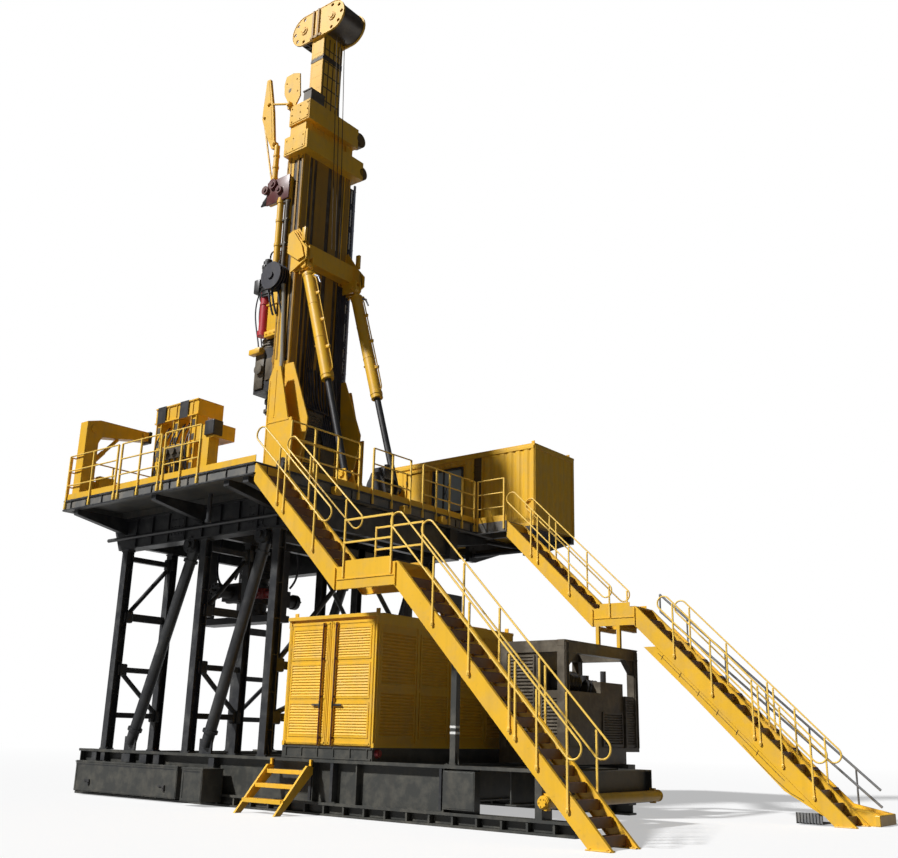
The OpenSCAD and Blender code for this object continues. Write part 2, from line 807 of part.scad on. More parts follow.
// An open frame on the skid with the pumps and a radiator in it
module pump_housing() {
    w = 170;
    h = 230;
    color("#35322a")
        union() {
            block([unit_x0, unit_y0, skid_top], [unit_x1, half_skid, unit_z0]);
            block([unit_x0, unit_y0, unit_z0], [unit_x1, unit_y1, unit_z0 + 80]);
            for (x = [unit_x0, unit_x1 - w], y = [unit_y0, unit_y1 - w])
                block([x, y, unit_z0], [x + w, y + w, unit_z1]);
            for (y = [unit_y0, unit_y1 - w])
                block([unit_x0, y, unit_z1 - h], [unit_x1, y + w, unit_z1]);
            for (x = [unit_x0, unit_x1 - w])
                block([x, unit_y0, unit_z1 - h], [x + w, unit_y1, unit_z1]);
            block([unit_x0 + 40, unit_y0 + 40, unit_z0 + 80],
                  [unit_x0 + 900, unit_y0 + 900, unit_z1 - 60]);
            block([unit_x0 + 200, unit_y0 + 60, unit_z0 + 80],
                  [unit_x1 - 60, unit_y1 - 900, unit_z0 + 1150]);
            block([unit_x0 + 500, unit_y1 - 1500, unit_z0 + 80],
                  [unit_x1 - 60, unit_y1 - 560, unit_z0 + 1380]);
            block([unit_x1 - 260, unit_y1 - 560, unit_z0 + 80],
                  [unit_x1 - 20, unit_y1 - 40, unit_z0 + 1130]);
        }
}

module blowout_preventer() {
    z1 = floor_top - plate_t;
    hang_x0 = column_x[0] + 80;
    hang_x1 = column_x[1] - 80;
    color("#8c1f22")
        union() {
            translate([well_x, 0, z1 - 1100]) cylinder(h = 1100, d = 420);
            translate([well_x, 0, z1 - 60]) cylinder(h = 60, d = 660);
            translate([well_x, 0, z1 - 1500]) cylinder(h = 420, d = 800, $fn = 48);
            block([well_x - 300, -850, z1 - 2100], [well_x + 300, 850, z1 - 1700]);
            translate([well_x, 0, z1 - 2400]) cylinder(h = 1000, d = 520);
            for (s = [-1, 1])
                rod([well_x, s * 850, z1 - 1900], [well_x, s * 1250, z1 - 1900], 300);
            block([hang_x0, -250, z1 - 2560], [hang_x1, 250, z1 - 2400]);
            for (x = [hang_x0, hang_x1 - 100])
                block([x, -150, z1 - 2560], [x + 100, 150, girder_bot + 400]);
        }
}

// ---------------------------------------------------------------- drill floor machines
module roughneck() {
    x0 = floor_x0 + 940;
    y0 = -2500;
    color("#f0b322")
        union() {
            block([x0, y0, floor_top], [x0 + 2200, y0 + 1000, floor_top + 160]);
            for (x = [x0 + 40, x0 + 720, x0 + 1400])
                block([x, y0 + 60, floor_top + 160], [x + 240, y0 + 360, floor_top + 2400]);
            block([x0 + 40, y0 + 360, floor_top + 160], [x0 + 1660, y0 + 900, floor_top + 900]);
            block([x0, y0 + 40, floor_top + 2150], [x0 + 1660, y0 + 800, floor_top + 2560]);
            block([x0 + 1640, y0 + 60, floor_top + 1500], [x0 + 2300, y0 + 700, floor_top + 1850]);
            block([x0 + 1900, y0 + 60, floor_top + 160], [x0 + 2140, y0 + 360, floor_top + 1520]);
            block([x0 + 250, y0, floor_top + 1100], [x0 + 1500, y0 + 700, floor_top + 1500]);
        }
}

module roughneck_arm() {
    x0 = floor_x0 + 210;
    y0 = -floor_y + 30;
    w = 290;
    post = 350;
    color("#e3a91f")
        union() {
            block([x0, y0, floor_top], [x0 + w, y0 + post, floor_top + 1900]);
            yz_plate([[y0, floor_top + 1880], [y0, floor_top + 1930], [y0 + post, floor_top + 2030],
                      [y0 + 1740, floor_top + 2060], [y0 + 1770, floor_top + 1840],
                      [y0 + 430, floor_top + 1620], [y0 + post - 1, floor_top + 1450]], x0, x0 + w);
            block([x0 - 60, y0 - 10, floor_top], [x0 + 500, y0 + 1000, floor_top + 60]);
            block([x0 + w, y0 + 400, floor_top + 60], [x0 + w + 160, y0 + 850, floor_top + 620]);
            block([x0, y0 + post, floor_top + 60], [x0 + w + 1, y0 + 850, floor_top + 500]);
        }
}

// ---------------------------------------------------------------- mast
stand_y = [mast_y + 110, mast_y + 260];
cheek_in = [mast_y, mast_y + 40];
cheek_out = [mast_y + 330, mast_y + 370];

// Stands that carry the pivot pin, and the clevises of the raising cylinders
module mast_stands() {
    color("#c88d12") {
        for (s = [-1, 1])
            difference() {
                union() {
                    xz_plate([[pivot_x - 420, floor_top], [pivot_x + 320, floor_top],
                              [pivot_x + 150, pivot_z], [pivot_x - 150, pivot_z]],
                             min(s * stand_y[0], s * stand_y[1]), max(s * stand_y[0], s * stand_y[1]));
                    translate([pivot_x, s * (stand_y[0] + stand_y[1]) / 2, pivot_z])
                        rotate([90, 0, 0])
                            cylinder(h = stand_y[1] - stand_y[0], d = 300, center = true, $fn = 48);
                }
                translate([pivot_x, 0, pivot_z])
                    rotate([90, 0, 0])
                        cylinder(h = 4000, d = pivot_d + 2 * fit, center = true, $fn = 48);
            }
        for (s = [-1, 1], e = [-1, 1])
            xz_plate([[foot_pin_x - 200, floor_top], [foot_pin_x + 260, floor_top],
                      [foot_pin_x + 120, foot_pin_z + 110], [foot_pin_x - 80, foot_pin_z + 110]],
                     s * lift_y + e * ear_off - 20, s * lift_y + e * ear_off + 20);
        for (x = [mast_x0 + 60, mast_x1 - 260])
            block([x, -mast_y, floor_top], [x + 200, mast_y, mast_bot - gap]);
    }
}

module outer_mast() {
    inner_y = mast_y - side_w;
    color("#d9a01c")
        union() {
            block([mast_x0, inner_y, mast_bot], [mast_x1, mast_y, mast_top]);
            difference() {
                block([mast_x0, -mast_y, mast_bot], [mast_x1, -inner_y, mast_top]);
                block([mast_x0 + 250, -mast_y - 10, mast_bot + 3500],
                      [mast_x1 - 60, -mast_y + 120, mast_top - 1100]);
            }
            block([mast_x1 - 80, -inner_y, mast_bot], [mast_x1 - 50, inner_y, mast_top]);
            for (k = [0 : 8])
                block([mast_x1 - 80, -inner_y, mast_bot + 200 + k * 1200],
                      [mast_x1 - 10, inner_y, mast_bot + 280 + k * 1200]);
            block([mast_x0 + 100, -inner_y, mast_bot], [mast_x1, inner_y, mast_bot + 300]);
            for (s = [-1, 1])
                block([mast_x0 - 60, s * (inner_y + 40), mast_bot + 300],
                      [mast_x0, s * (inner_y + 160), mast_top - 100]);
            for (s = [-1, 1], z = [mast_top - 4200, mast_top - 500])
                block([inner_x - 140, s * (inner_wid / 2 + slip), z],
                      [inner_x + 140, s * inner_y, z + 400]);
        }
}

module mast_head() {
    hole_x = inner_dep / 2 + 20;
    hole_y = inner_wid / 2 + 20;
    color("#d9a01c") {
        difference() {
            block([mast_x0 - 20, -mast_y - 50, mast_top], [mast_x1 + 150, mast_y + 50, mast_top + 600]);
            block([mast_x - hole_x - 30, -hole_y, mast_top - 10],
                  [mast_x + hole_x - 30, hole_y, mast_top + 610]);
        }
        block([mast_x1, -mast_y - 180, mast_top - 1000], [mast_x1 + 280, mast_y + 180, mast_top - 450]);
        for (s = [-1, 1])
            block([mast_x0, s * mast_y, mast_top - 1000], [mast_x1, s * (mast_y + 180), mast_top - 450]);
    }
}

module mast_cross_beam() {
    z0 = lift_z + 200;
    color("#d9a01c")
        union() {
            block([mast_x1, -mast_y - 180, z0], [mast_x1 + 300, mast_y + 180, z0 + 500]);
            for (s = [-1, 1])
                xz_plate([[mast_x1, z0 - 350], [mast_x1, z0 + 500], [mast_x1 + 300, z0 + 500],
                          [mast_x1 + 560, z0 + 200], [mast_x1 + 560, z0 - 100]],
                         s * (mast_y + 160) - 20, s * (mast_y + 160) + 20);
            for (s = [-1, 1], e = [-1, 1])
                xz_plate([[mast_x1, z0 - 300], [mast_x1, z0 + 10], [lift_x + 130, z0 + 10],
                          [lift_x + 130, lift_z - 60], [lift_x + 60, lift_z - 130],
                          [lift_x - 60, lift_z - 130]],
                         s * lift_y + e * (eye_w / 2 + 25) - 20, s * lift_y + e * (eye_w / 2 + 25) + 20);
            for (s = [-1, 1])
                translate([lift_x, s * lift_y, lift_z])
                    rotate([90, 0, 0]) cylinder(h = eye_w + 160, d = lift_d, center = true, $fn = 48);
        }
}

module mast_feet() {
    box_y = 560;
    x_out = pivot_x + 200;
    outline = [[mast_x0 + 350, mast_bot], [x_out, mast_bot], [x_out, mast_bot + 1800],
               [pivot_x + 60, mast_bot + 1800], [mast_x1 + 120, mast_bot + 3200],
               [mast_x0 + 480, mast_bot + 3200], [mast_x0 + 350, mast_bot + 2900]];
    inner = [[mast_x0 + 350, mast_bot], [x_out, mast_bot], [x_out, mast_bot + 900],
             [pivot_x + 370, mast_bot + 1550], [pivot_x + 390, mast_bot + 1840],
             [mast_x1 + 210, mast_bot + 3380], [mast_x0 + 480, mast_bot + 3380],
             [mast_x0 + 350, mast_bot + 3100]];
    color("#f0b322") {
        block([mast_x1, -box_y, mast_bot + 50], [mast_x1 + 350, box_y, mast_bot + 1450]);
        for (s = [-1, 1])
            union() {
                xz_plate(inner, min(s * cheek_in[0], s * cheek_in[1]),
                         max(s * cheek_in[0], s * cheek_in[1]));
                xz_plate(outline, min(s * cheek_out[0], s * cheek_out[1]),
                         max(s * cheek_out[0], s * cheek_out[1]));
                block([mast_x0 + 380, s * cheek_in[0], mast_bot + 1300],
                      [mast_x0 + 460, s * cheek_out[1], mast_bot + 3000]);
                translate([pivot_x, s * (cheek_in[1] + cheek_out[0]) / 2, pivot_z])
                    rotate([90, 0, 0])
                        cylinder(h = cheek_out[0] - cheek_in[1] + 140, d = pivot_d, center = true,
                                 $fn = 48);
            }
    }
}

module cable_carrier() {
    color("#17181c")
        block([mast_x0 + 200, mast_y, mast_bot + 3400],
              [mast_x1 - 20, mast_y + 220, mast_top - 1050]);
}

module pipe_arm() {
    y = -mast_y - 60;
    x = mast_x0 - 420;
    blade = [[-1030, 1850], [-900, 1840], [-670, 750], [-540, -240], [-370, -490],
             [-620, -490], [-800, -150], [-1110, 620], [-1100, 920]];
    cam = [[-370, 1170], [-400, 1500], [-330, 1730], [-50, 1740], [200, 1640], [270, 910],
           [80, 620], [-80, 620]];
    color("#e3a91f")
        union() {
            xz_plate([for (p = blade) [mast_x0 + p[0], mast_top + p[1]]], y - 40, y + 40);
            rod([mast_x0 - 790, y, mast_top + 1000], [mast_x0 - 50, y, mast_top + 720], 60);
            block([mast_x0 - 80, y - 50, mast_top + 540], [mast_x0 - 20, y + 60, mast_top + 780]);
            rod([x, y, mast_top - 1700], [x, y, mast_top - 460], 150);
            rod([mast_x0 - 1060, y, mast_top + 560], [mast_x0 - 500, y, mast_top - 1650], 50);
            block([x - 130, y - 60, mast_top - 2250], [mast_x0 + 250, y + 60, mast_top - 1600]);
            rod([mast_x0 - 50, y - 40, mast_top - 4500], [mast_x0 - 50, y - 40, mast_top - 2200], 170);
            rod([mast_x0 + 180, y - 10, mast_top - 4200], [mast_x0 + 180, y - 10, mast_top - 2200], 90);
            block([mast_x0 - 130, y - 60, mast_top - 4500], [mast_x0 + 300, y + 60, mast_top - 4380]);
            xz_plate([for (p = cam) [mast_x0 + p[0], mast_top + p[1]]], 1 - mast_y, 41 - mast_y);
            block([mast_x0 - 15, 1 - mast_y, mast_top + 600 + gap],
                  [mast_x0 + 80, 260 - mast_y, mast_top + 720]);
        }
}

// ---------------------------------------------------------------- inner mast, crown, head
inner_bot = 11000;
inner_top = mast_top + inner_out;
inner_x = mast_x - 30;
crown_gap = inner_wid / 2 + 20;

module inner_mast() {
    t = 20;
    color("#c9941b")
        difference() {
            block([inner_x - inner_dep / 2, -inner_wid / 2, inner_bot],
                  [inner_x + inner_dep / 2, inner_wid / 2, inner_top]);
            block([inner_x - inner_dep / 2 + t, -inner_wid / 2 + t, inner_bot - 10],
                  [inner_x + inner_dep / 2 - t, inner_wid / 2 - t, inner_top - t]);
        }
}

module crown() {
    mid_z = inner_top + crown_h / 2;
    r = crown_h / 2;
    half = crown_len / 2 - r;
    color("#f0b322")
        union() {
            for (s = [-1, 1])
                difference() {
                    union() {
                        block([inner_x - half, s * crown_gap, inner_top],
                              [inner_x + half, s * (crown_gap + 40), inner_top + crown_h]);
                        for (e = [-half, half])
                            translate([inner_x + e, s * (crown_gap + 20), mid_z])
                                rotate([90, 0, 0]) cylinder(h = 40, r = r, center = true, $fn = 64);
                    }
                    for (e = [-1, 1], a = [-90 : 45 : 90])
                        translate([inner_x + e * (half + (r - 110) * cos(a)), 0,
                                   mid_z + (r - 110) * sin(a)])
                            rotate([90, 0, 0])
                                cylinder(h = 2000, d = 110, center = true, $fn = 24);
                }
            for (e = [-half, half])
                translate([inner_x + e, 0, mid_z])
                    rotate([90, 0, 0])
                        cylinder(h = 2 * crown_gap, r = r - 220, center = true, $fn = 48);
            block([inner_x - inner_dep / 2, -crown_gap, inner_top],
                  [inner_x + inner_dep / 2, crown_gap, inner_top + 120]);
        }
}

// Carriage on the mast's rails with gear head, feed unit, swivel and pipe gripper
module rotary_head() {
    z = 9900;
    back = mast_x0 - 100;
    color("#2a2b2d")
        union() {
            block([back - 40, -700, z + 400], [back, 700, z + 3600]);
            for (s = [-1, 1])
                block([back - 10, s * 700, z + 500], [mast_x0 - 60 - gap, s * 810, z + 3400]);
            translate([well_x, 0, z + 2700]) cylinder(h = 850, d = 1040, $fn = 48);
            block([well_x - 60, -330, z + 1500], [back, 330, z + 3400]);
            for (s = [-1, 1])
                translate([well_x - 130, s * 330, z + 1800]) cylinder(h = 1000, d = 260);
            translate([well_x, 0, z + 1000]) cylinder(h = 800, d = 620, $fn = 48);
            block([well_x - 280, -420, z], [back - 60, 420, z + 1200]);
            block([back - 100, -300, z + 300], [back, 300, z + 1200]);
            translate([well_x, 0, z - 500]) cylinder(h = 1000, d = 300);
            translate([well_x + 120, 0, z + 3500]) cylinder(h = 500, d = 420);
        }
}

// ---------------------------------------------------------------- raising cylinders
// Places children, drawn down along -Z from the upper pin, at both cylinders
module at_cylinders() {
    for (s = [-1, 1])
        translate([lift_x, s * lift_y, lift_z])
            rotate([0, -lift_ang, 0])
                children();
}

module raise_barrels() {
    bore = rod_d + 2 * gap;
    color("#f0b322")
        at_cylinders()
            difference() {
                union() {
                    rotate([90, 0, 0]) cylinder(h = eye_w, d = 240, center = true, $fn = 48);
                    translate([0, 0, -300]) cylinder(h = 240, d = eye_w - 10);
                    translate([0, 0, -barrel_len]) cylinder(h = barrel_len - 260, d = barrel_d, $fn = 64);
                }
                rotate([90, 0, 0])
                    cylinder(h = eye_w + 10, d = lift_d + 2 * fit, center = true, $fn = 48);
                translate([0, 0, -barrel_len - 10])
                    cylinder(h = barrel_len - 390, d = bore, $fn = 48);
            }
}

module raise_rods() {
    color("#8d8f92")
        at_cylinders()
            difference() {
                union() {
                    translate([0, 0, -lift_len + 60])
                        cylinder(h = lift_len - barrel_len + 250, d = rod_d, $fn = 48);
                    translate([0, 0, -lift_len])
                        rotate([90, 0, 0]) cylinder(h = eye_w, d = 240, center = true, $fn = 48);
                }
                translate([0, 0, -lift_len])
                    rotate([90, 0, 0]) cylinder(h = eye_w + 10, d = lift_d, center = true, $fn = 48);
            }
}

skid_beams();
skid_cross_beams();
tool_boxes();
access_ladder();
tail_roller();
columns();
braces();
end_frames();
floor_girders();
drill_floor();
toe_boards();
front_pipe();
floor_rails();
stair_1_sides();
stair_1_rails();
stair_2_sides();
stair_2_rails();
stair_treads();
landing_frame();
landing_post();
pipe_ramp();
cabin_shell();
cabin_roof();
cabin_window();
cabin_brackets();
power_pack_housing();
power_pack_base();
power_pack_door_left();
power_pack_door_right();
pump_housing();
blowout_preventer();
roughneck();
roughneck_arm();
mast_stands();
outer_mast();
mast_head();
mast_cross_beam();
mast_feet();
cable_carrier();
pipe_arm();
inner_mast();
crown();
rotary_head();
raise_barrels();
raise_rods();
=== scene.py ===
"""Skid-mounted drilling rig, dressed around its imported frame."""

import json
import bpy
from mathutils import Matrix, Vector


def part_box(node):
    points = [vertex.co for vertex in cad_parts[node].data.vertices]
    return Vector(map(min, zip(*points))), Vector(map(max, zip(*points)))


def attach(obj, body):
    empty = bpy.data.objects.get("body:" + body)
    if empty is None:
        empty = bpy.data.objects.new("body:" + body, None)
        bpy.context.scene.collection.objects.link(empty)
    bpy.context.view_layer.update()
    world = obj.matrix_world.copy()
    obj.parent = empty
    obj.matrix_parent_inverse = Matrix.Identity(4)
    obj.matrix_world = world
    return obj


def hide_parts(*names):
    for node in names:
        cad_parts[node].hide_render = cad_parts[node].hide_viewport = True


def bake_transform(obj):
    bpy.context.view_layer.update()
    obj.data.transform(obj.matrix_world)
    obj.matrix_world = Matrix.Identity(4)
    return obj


bl_info = {
    "name": "Drilling Rig Builder",
    "version": (1, 0, 0),
    "blender": (4, 5, 0),
    "location": "View3D > Sidebar > Rig",
    "description": "Dresses the frame of a drilling rig with its panels, hoses, bolts and paint",
    "category": "Object",
}

from math import cos, pi, radians, sin

import bpy
from mathutils import Matrix, Vector

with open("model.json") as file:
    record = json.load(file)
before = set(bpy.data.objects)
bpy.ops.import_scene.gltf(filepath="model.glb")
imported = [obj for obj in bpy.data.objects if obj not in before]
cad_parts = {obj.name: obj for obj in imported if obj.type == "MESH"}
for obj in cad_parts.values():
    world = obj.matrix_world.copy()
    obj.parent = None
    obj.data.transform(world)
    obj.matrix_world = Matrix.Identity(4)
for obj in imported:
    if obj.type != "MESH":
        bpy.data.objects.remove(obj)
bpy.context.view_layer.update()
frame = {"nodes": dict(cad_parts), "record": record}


# ---------------------------------------------------------------- small modelling helpers
def start():
    """Leave edit mode and deselect everything."""
    if bpy.context.object and bpy.context.object.mode != "OBJECT":
        bpy.ops.object.mode_set(mode="OBJECT")
    bpy.ops.object.select_all(action="DESELECT")


def settle(ob):
    """Apply the object's place, turn and scale to its mesh."""
    start()
    ob.select_set(True)
    bpy.context.view_layer.objects.active = ob
    bpy.ops.object.transform_apply(location=True, rotation=True, scale=True)
    return ob


def cube(lo, hi):
    """A box between two corners."""
    lo, hi = Vector(lo), Vector(hi)
    start()
    size = [max(abs(h - l), 1e-5) for l, h in zip(lo, hi)]
    bpy.ops.mesh.primitive_cube_add(size=1, location=(lo + hi) / 2)
    ob = bpy.context.object
    ob.scale = size
    return settle(ob)


def tube(p, q, r, sides=16, r2=None):
    """A round bar from p to q, tapered where r2 is given."""
    p, q = Vector(p), Vector(q)
    start()
    turn = (q - p).to_track_quat("Z", "Y").to_euler()
    if r2 is None:
        bpy.ops.mesh.primitive_cylinder_add(vertices=sides, radius=r, depth=(q - p).length,
                                            location=(p + q) / 2, rotation=turn)
    else:
        bpy.ops.mesh.primitive_cone_add(vertices=sides, radius1=r, radius2=r2,
                                        depth=(q - p).length, location=(p + q) / 2, rotation=turn)
    return settle(bpy.context.object)


def outline(points, depth, place):
    """A flat outline made thick: place maps (a, b, thickness) to a point."""
    start()
    bpy.ops.mesh.primitive_circle_add(vertices=len(points), radius=1, fill_type="NGON")
    ob = bpy.context.object
    for v, (a, b) in zip(ob.data.vertices, points):
        v.co = place(a, b, depth[0])
    bpy.ops.object.mode_set(mode="EDIT")
    bpy.ops.mesh.select_all(action="SELECT")
    step = Vector(place(0, 0, depth[1])) - Vector(place(0, 0, depth[0]))
    bpy.ops.mesh.extrude_region_move(TRANSFORM_OT_translate={"value": step})
    bpy.ops.mesh.select_all(action="SELECT")
    bpy.ops.mesh.normals_make_consistent(inside=False)
    bpy.ops.object.mode_set(mode="OBJECT")
    return ob


def in_xz(a, b, t):
    """Place on the XZ plane, thick along Y."""
    return (a, t, b)


def in_yz(a, b, t):
    """Place on the YZ plane, thick along X."""
    return (t, a, b)


def in_xy(a, b, t):
    """Place on the XY plane, thick along Z."""
    return (a, b, t)


def band(p, q, r, wall, sides=40):
    """A hollow ring from p to q."""
    p, q = Vector(p), Vector(q)
    start()
    bpy.ops.mesh.primitive_cylinder_add(vertices=sides, radius=r, depth=(q - p).length,
                                        end_fill_type="NOTHING", location=(p + q) / 2,
                                        rotation=(q - p).to_track_quat("Z", "Y").to_euler())
    ob = settle(bpy.context.object)
    mod = ob.modifiers.new("wall", "SOLIDIFY")
    mod.thickness = wall
    mod.offset = -1
    bpy.ops.object.modifier_apply(modifier=mod.name)
    return ob


def post(x, y, z0, z1, r, sides=16, r2=None):
    """An upright bar."""
    return tube((x, y, z0), (x, y, z1), r, sides, r2)


def axle(x, z, y0, y1, r, sides=16, r2=None):
    """A bar along Y."""
    return tube((x, y0, z), (x, y1, z), r, sides, r2)


def spar(y, z, x0, x1, r, sides=16, r2=None):
    """A bar along X."""
    return tube((x0, y, z), (x1, y, z), r, sides, r2)


def bevelled(ob, width, segments=2):
    """Round the edges of a piece."""
    start()
    bpy.context.view_layer.objects.active = ob
    ob.select_set(True)
    mod = ob.modifiers.new("edge", "BEVEL")
    mod.width = width
    mod.segments = segments
    mod.limit_method = "ANGLE"
    mod.angle_limit = radians(40)
    bpy.ops.object.modifier_apply(modifier=mod.name)
    return ob


def block(lo, hi, edge, segments=2):
    """A box between two corners with rounded edges."""
    return bevelled(cube(lo, hi), edge, segments)


def row(ob, count, step):
    """Repeat a piece at even steps."""
    if count < 2:
        return ob
    start()
    bpy.context.view_layer.objects.active = ob
    ob.select_set(True)
    mod = ob.modifiers.new("row", "ARRAY")
    mod.count = count
    mod.use_relative_offset = False
    mod.use_constant_offset = True
    mod.constant_offset_displace = step
    bpy.ops.object.modifier_apply(modifier=mod.name)
    return ob


def copies(ob, offsets):
    """Copy a piece to each offset and join the copies; the first stays where it is."""
    made = [ob]
    for off in offsets:
        twin = ob.copy()
        twin.data = ob.data.copy()
        bpy.context.collection.objects.link(twin)
        twin.data.transform(Matrix.Translation(off))
        made.append(twin)
    return joined(made)


def joined(parts):
    """Join pieces to one."""
    start()
    for ob in parts:
        ob.select_set(True)
    bpy.context.view_layer.objects.active = parts[0]
    if len(parts) > 1:
        bpy.ops.object.join()
    return bpy.context.object


def hose(points, r, sides=8, smooth=True):
    """A hose along a smooth curve through the points."""
    start()
    curve = bpy.data.curves.new("hose", "CURVE")
    curve.dimensions = "3D"
    line = curve.splines.new("NURBS" if smooth else "POLY")
    line.points.add(len(points) - 1)
    for pt, co in zip(line.points, points):
        pt.co = (*co, 1)
    if smooth:
        line.use_endpoint_u = True
        line.order_u = 4
        line.resolution_u = 5
    curve.bevel_depth = r
    curve.bevel_resolution = max(0, sides // 4 - 1)
    curve.use_fill_caps = True
    ob = bpy.data.objects.new("hose", curve)
    bpy.context.collection.objects.link(ob)
    bpy.context.view_layer.objects.active = ob
    ob.select_set(True)
    bpy.ops.object.convert(target="MESH")
    return bpy.context.object


def done(ob, name, look, body="rig_base", slot=None, soft=False):
    """Name a finished piece, give it its look and let it ride on its body."""
    if isinstance(ob, (list, tuple)):
        ob = joined(list(ob))
    ob.name = name
    ob.data.name = name
    ob.data.materials.clear()
    ob.data.materials.append(finish(look))
    start()
    ob.select_set(True)
    bpy.context.view_layer.objects.active = ob
    if soft:
        bpy.ops.object.shade_smooth_by_angle(angle=radians(40))
    if body:
        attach(ob, body)
    slot = slot or SLOT_OF[look]
    return ob


# ---------------------------------------------------------------- sizes taken from the frame
FLOOR_LO, FLOOR_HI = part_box("drill_floor")
DECK = FLOOR_HI[2]
SKID_LO, SKID_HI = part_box("skid_beams")
PACK_LO, PACK_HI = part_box("power_pack_housing")
UNIT_LO, UNIT_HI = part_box("pump_housing")
CABIN_LO, CABIN_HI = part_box("cabin_shell")
MAST_LO, MAST_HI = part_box("outer_mast")
COLLAR_LO, COLLAR_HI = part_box("mast_head")
INNER_LO, INNER_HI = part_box("inner_mast")
CROWN_LO, CROWN_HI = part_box("crown")
CHAIN_LO, CHAIN_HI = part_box("cable_carrier")
CROSS_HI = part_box("mast_cross_beam")[1]
STAIR_LO = {1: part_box("stair_1_sides")[0], 2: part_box("stair_2_sides")[0]}
STAIR_HI = {1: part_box("stair_1_sides")[1], 2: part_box("stair_2_sides")[1]}
MAST_X0, MAST_X1, MAST_Y = MAST_LO[0] + 0.06, MAST_HI[0], MAST_HI[1]
CROWN_MID = (CROWN_LO[0] + CROWN_HI[0]) / 2
SIDES = (-1, 1)                      # -Y and +Y, or -X and +X
WELL_X = -4.15                       # middle of the well
PIVOT_X, PIVOT_Z = -2.15, 7.48       # pin that the mast tilts on
LIFT_X, LIFT_Y, LIFT_Z = -2.2, 0.88, 12.8    # pins at the raising cylinders' heads
ROD_X, ROD_Z = -0.45, 7.1            # pins at the rods' feet
COLUMN_X = (-6.088, -3.123, -0.710)
COLUMN_Y = 2.5
BRACES = (((-3.523, 5.45), (-5.188, 1.13)), ((-1.11, 5.45), (-2.533, 1.13)))    # head, foot
LANDING_Z = 4.3
UPPER_RUN, STAIR_RUN = 2.43, 5.47    # upper flight; landing and lower flight together
LANDING_RUN = {1: 1.42, 2: 1.06}
LOUVRE_RIM = 0.035
BARREL_LEAN = 17.072                 # degrees that the raising cylinders lean at rest
INNER_SHOWN = 17.9                   # the inner mast shows above this height
UNIT_FLOOR = 1.22                    # top of the pump unit's base
LOCK_BAR = 1.105 - 0.16              # from a door's hinge to its lock bar


def at_x(x, out=1):
    """Place on a face square to X: along Y, up Z, outward by t."""
    return lambda a, b, t: (x + out * t, a, b)


def at_y(y, out=-1):
    """Place on a face square to Y: along X, up Z, outward by t."""
    return lambda a, b, t: (a, y + out * t, b)


def on_face(place, a0, b0, a1, b1, t0, t1):
    """A box on a face between two places and two heights above the face."""
    p, q = place(a0, b0, t0), place(a1, b1, t1)
    return cube([min(i, j) for i, j in zip(p, q)], [max(i, j) for i, j in zip(p, q)])


def shift(place, a, b, t=0):
    """The step that a move on a face makes in space."""
    return Vector(place(a, b, t)) - Vector(place(0, 0, 0))


def slats(place, a0, a1, b0, b1, count, depth=0.03):
    """A frame with leaning slats, as in a cooling grille."""
    pitch = (b1 - b0) / count
    slat = outline([(0, 0), (depth, pitch * 0.1), (depth, pitch * 0.3), (0, pitch * 0.75)],
                   (a0, a1), lambda t, b, a: place(a, b0 + b, t))
    bars = row(slat, count, shift(place, 0, pitch))
    rim = LOUVRE_RIM
    sides = [on_face(place, a0 - rim, b0 - rim, a0, b1 + rim, 0, depth),
             on_face(place, a1, b0 - rim, a1 + rim, b1 + rim, 0, depth),
             on_face(place, a0, b0 - rim, a1, b0, 0, depth),
             on_face(place, a0, b1, a1, b1 + rim, 0, depth)]
    return joined([bars] + sides)


def bolt(at, direction, r=None, h=None):
    """A hexagon head with a washer under it, of the usual size where none is given."""
    sizes = bpy.context.scene.rig_sizes
    r, h = r or sizes.bolt_radius, h or sizes.bolt_height
    at, direction = Vector(at), Vector(direction).normalized()
    washer = tube(at, at + direction * h * 0.25, r * 1.35, 10)
    head = tube(at + direction * h * 0.25, at + direction * h, r, 6)
    return joined([washer, head])


def around(place, a0, b0, r, t, first, last, count):
    """Even places round a circle on a face."""
    return [place(a0 + r * cos(a), b0 + r * sin(a), t) for a in grid(first, last, count)]


def bolts(points, direction, r=None, h=None):
    """The same bolt at each point."""
    first = bolt(points[0], direction, r, h)
    return copies(first, [Vector(p) - Vector(points[0]) for p in points[1:]])


def grooved(p, q, r, groove=0.82, sides=32):
    """A wheel with a rope groove between two rims."""
    p, q = Vector(p), Vector(q)
    third = (q - p) / 3
    return joined([tube(p, p + third, r, sides), tube(p + third, q - third, r * groove, sides),
                   tube(q - third, q, r, sides)])


def grid(a0, a1, count):
    """Even places from a0 to a1."""
    return [a0 + (a1 - a0) * k / (count - 1) for k in range(count)]


# ---------------------------------------------------------------- shader node groups
def new_group(name, inputs, outputs):
    """A node group with its sockets."""
    group = bpy.data.node_groups.new(name, "ShaderNodeTree")
    for label, kind, value in inputs:
        sock = group.interface.new_socket(name=label, in_out="INPUT", socket_type=kind)
        sock.default_value = value
    for label, kind in outputs:
        group.interface.new_socket(name=label, in_out="OUTPUT", socket_type=kind)
    return group, group.nodes.new("NodeGroupInput"), group.nodes.new("NodeGroupOutput")


def wire(tree, *pairs):
    """Link outputs to inputs."""
    for out, into in pairs:
        tree.links.new(out, into)


def node(tree, kind, **settings):
    """A shader node with the given inputs or settings."""
    made = tree.nodes.new(kind)
    for key, value in settings.items():
        if key in made.inputs:
            made.inputs[key].default_value = value
        else:
            setattr(made, key, value)
    return made


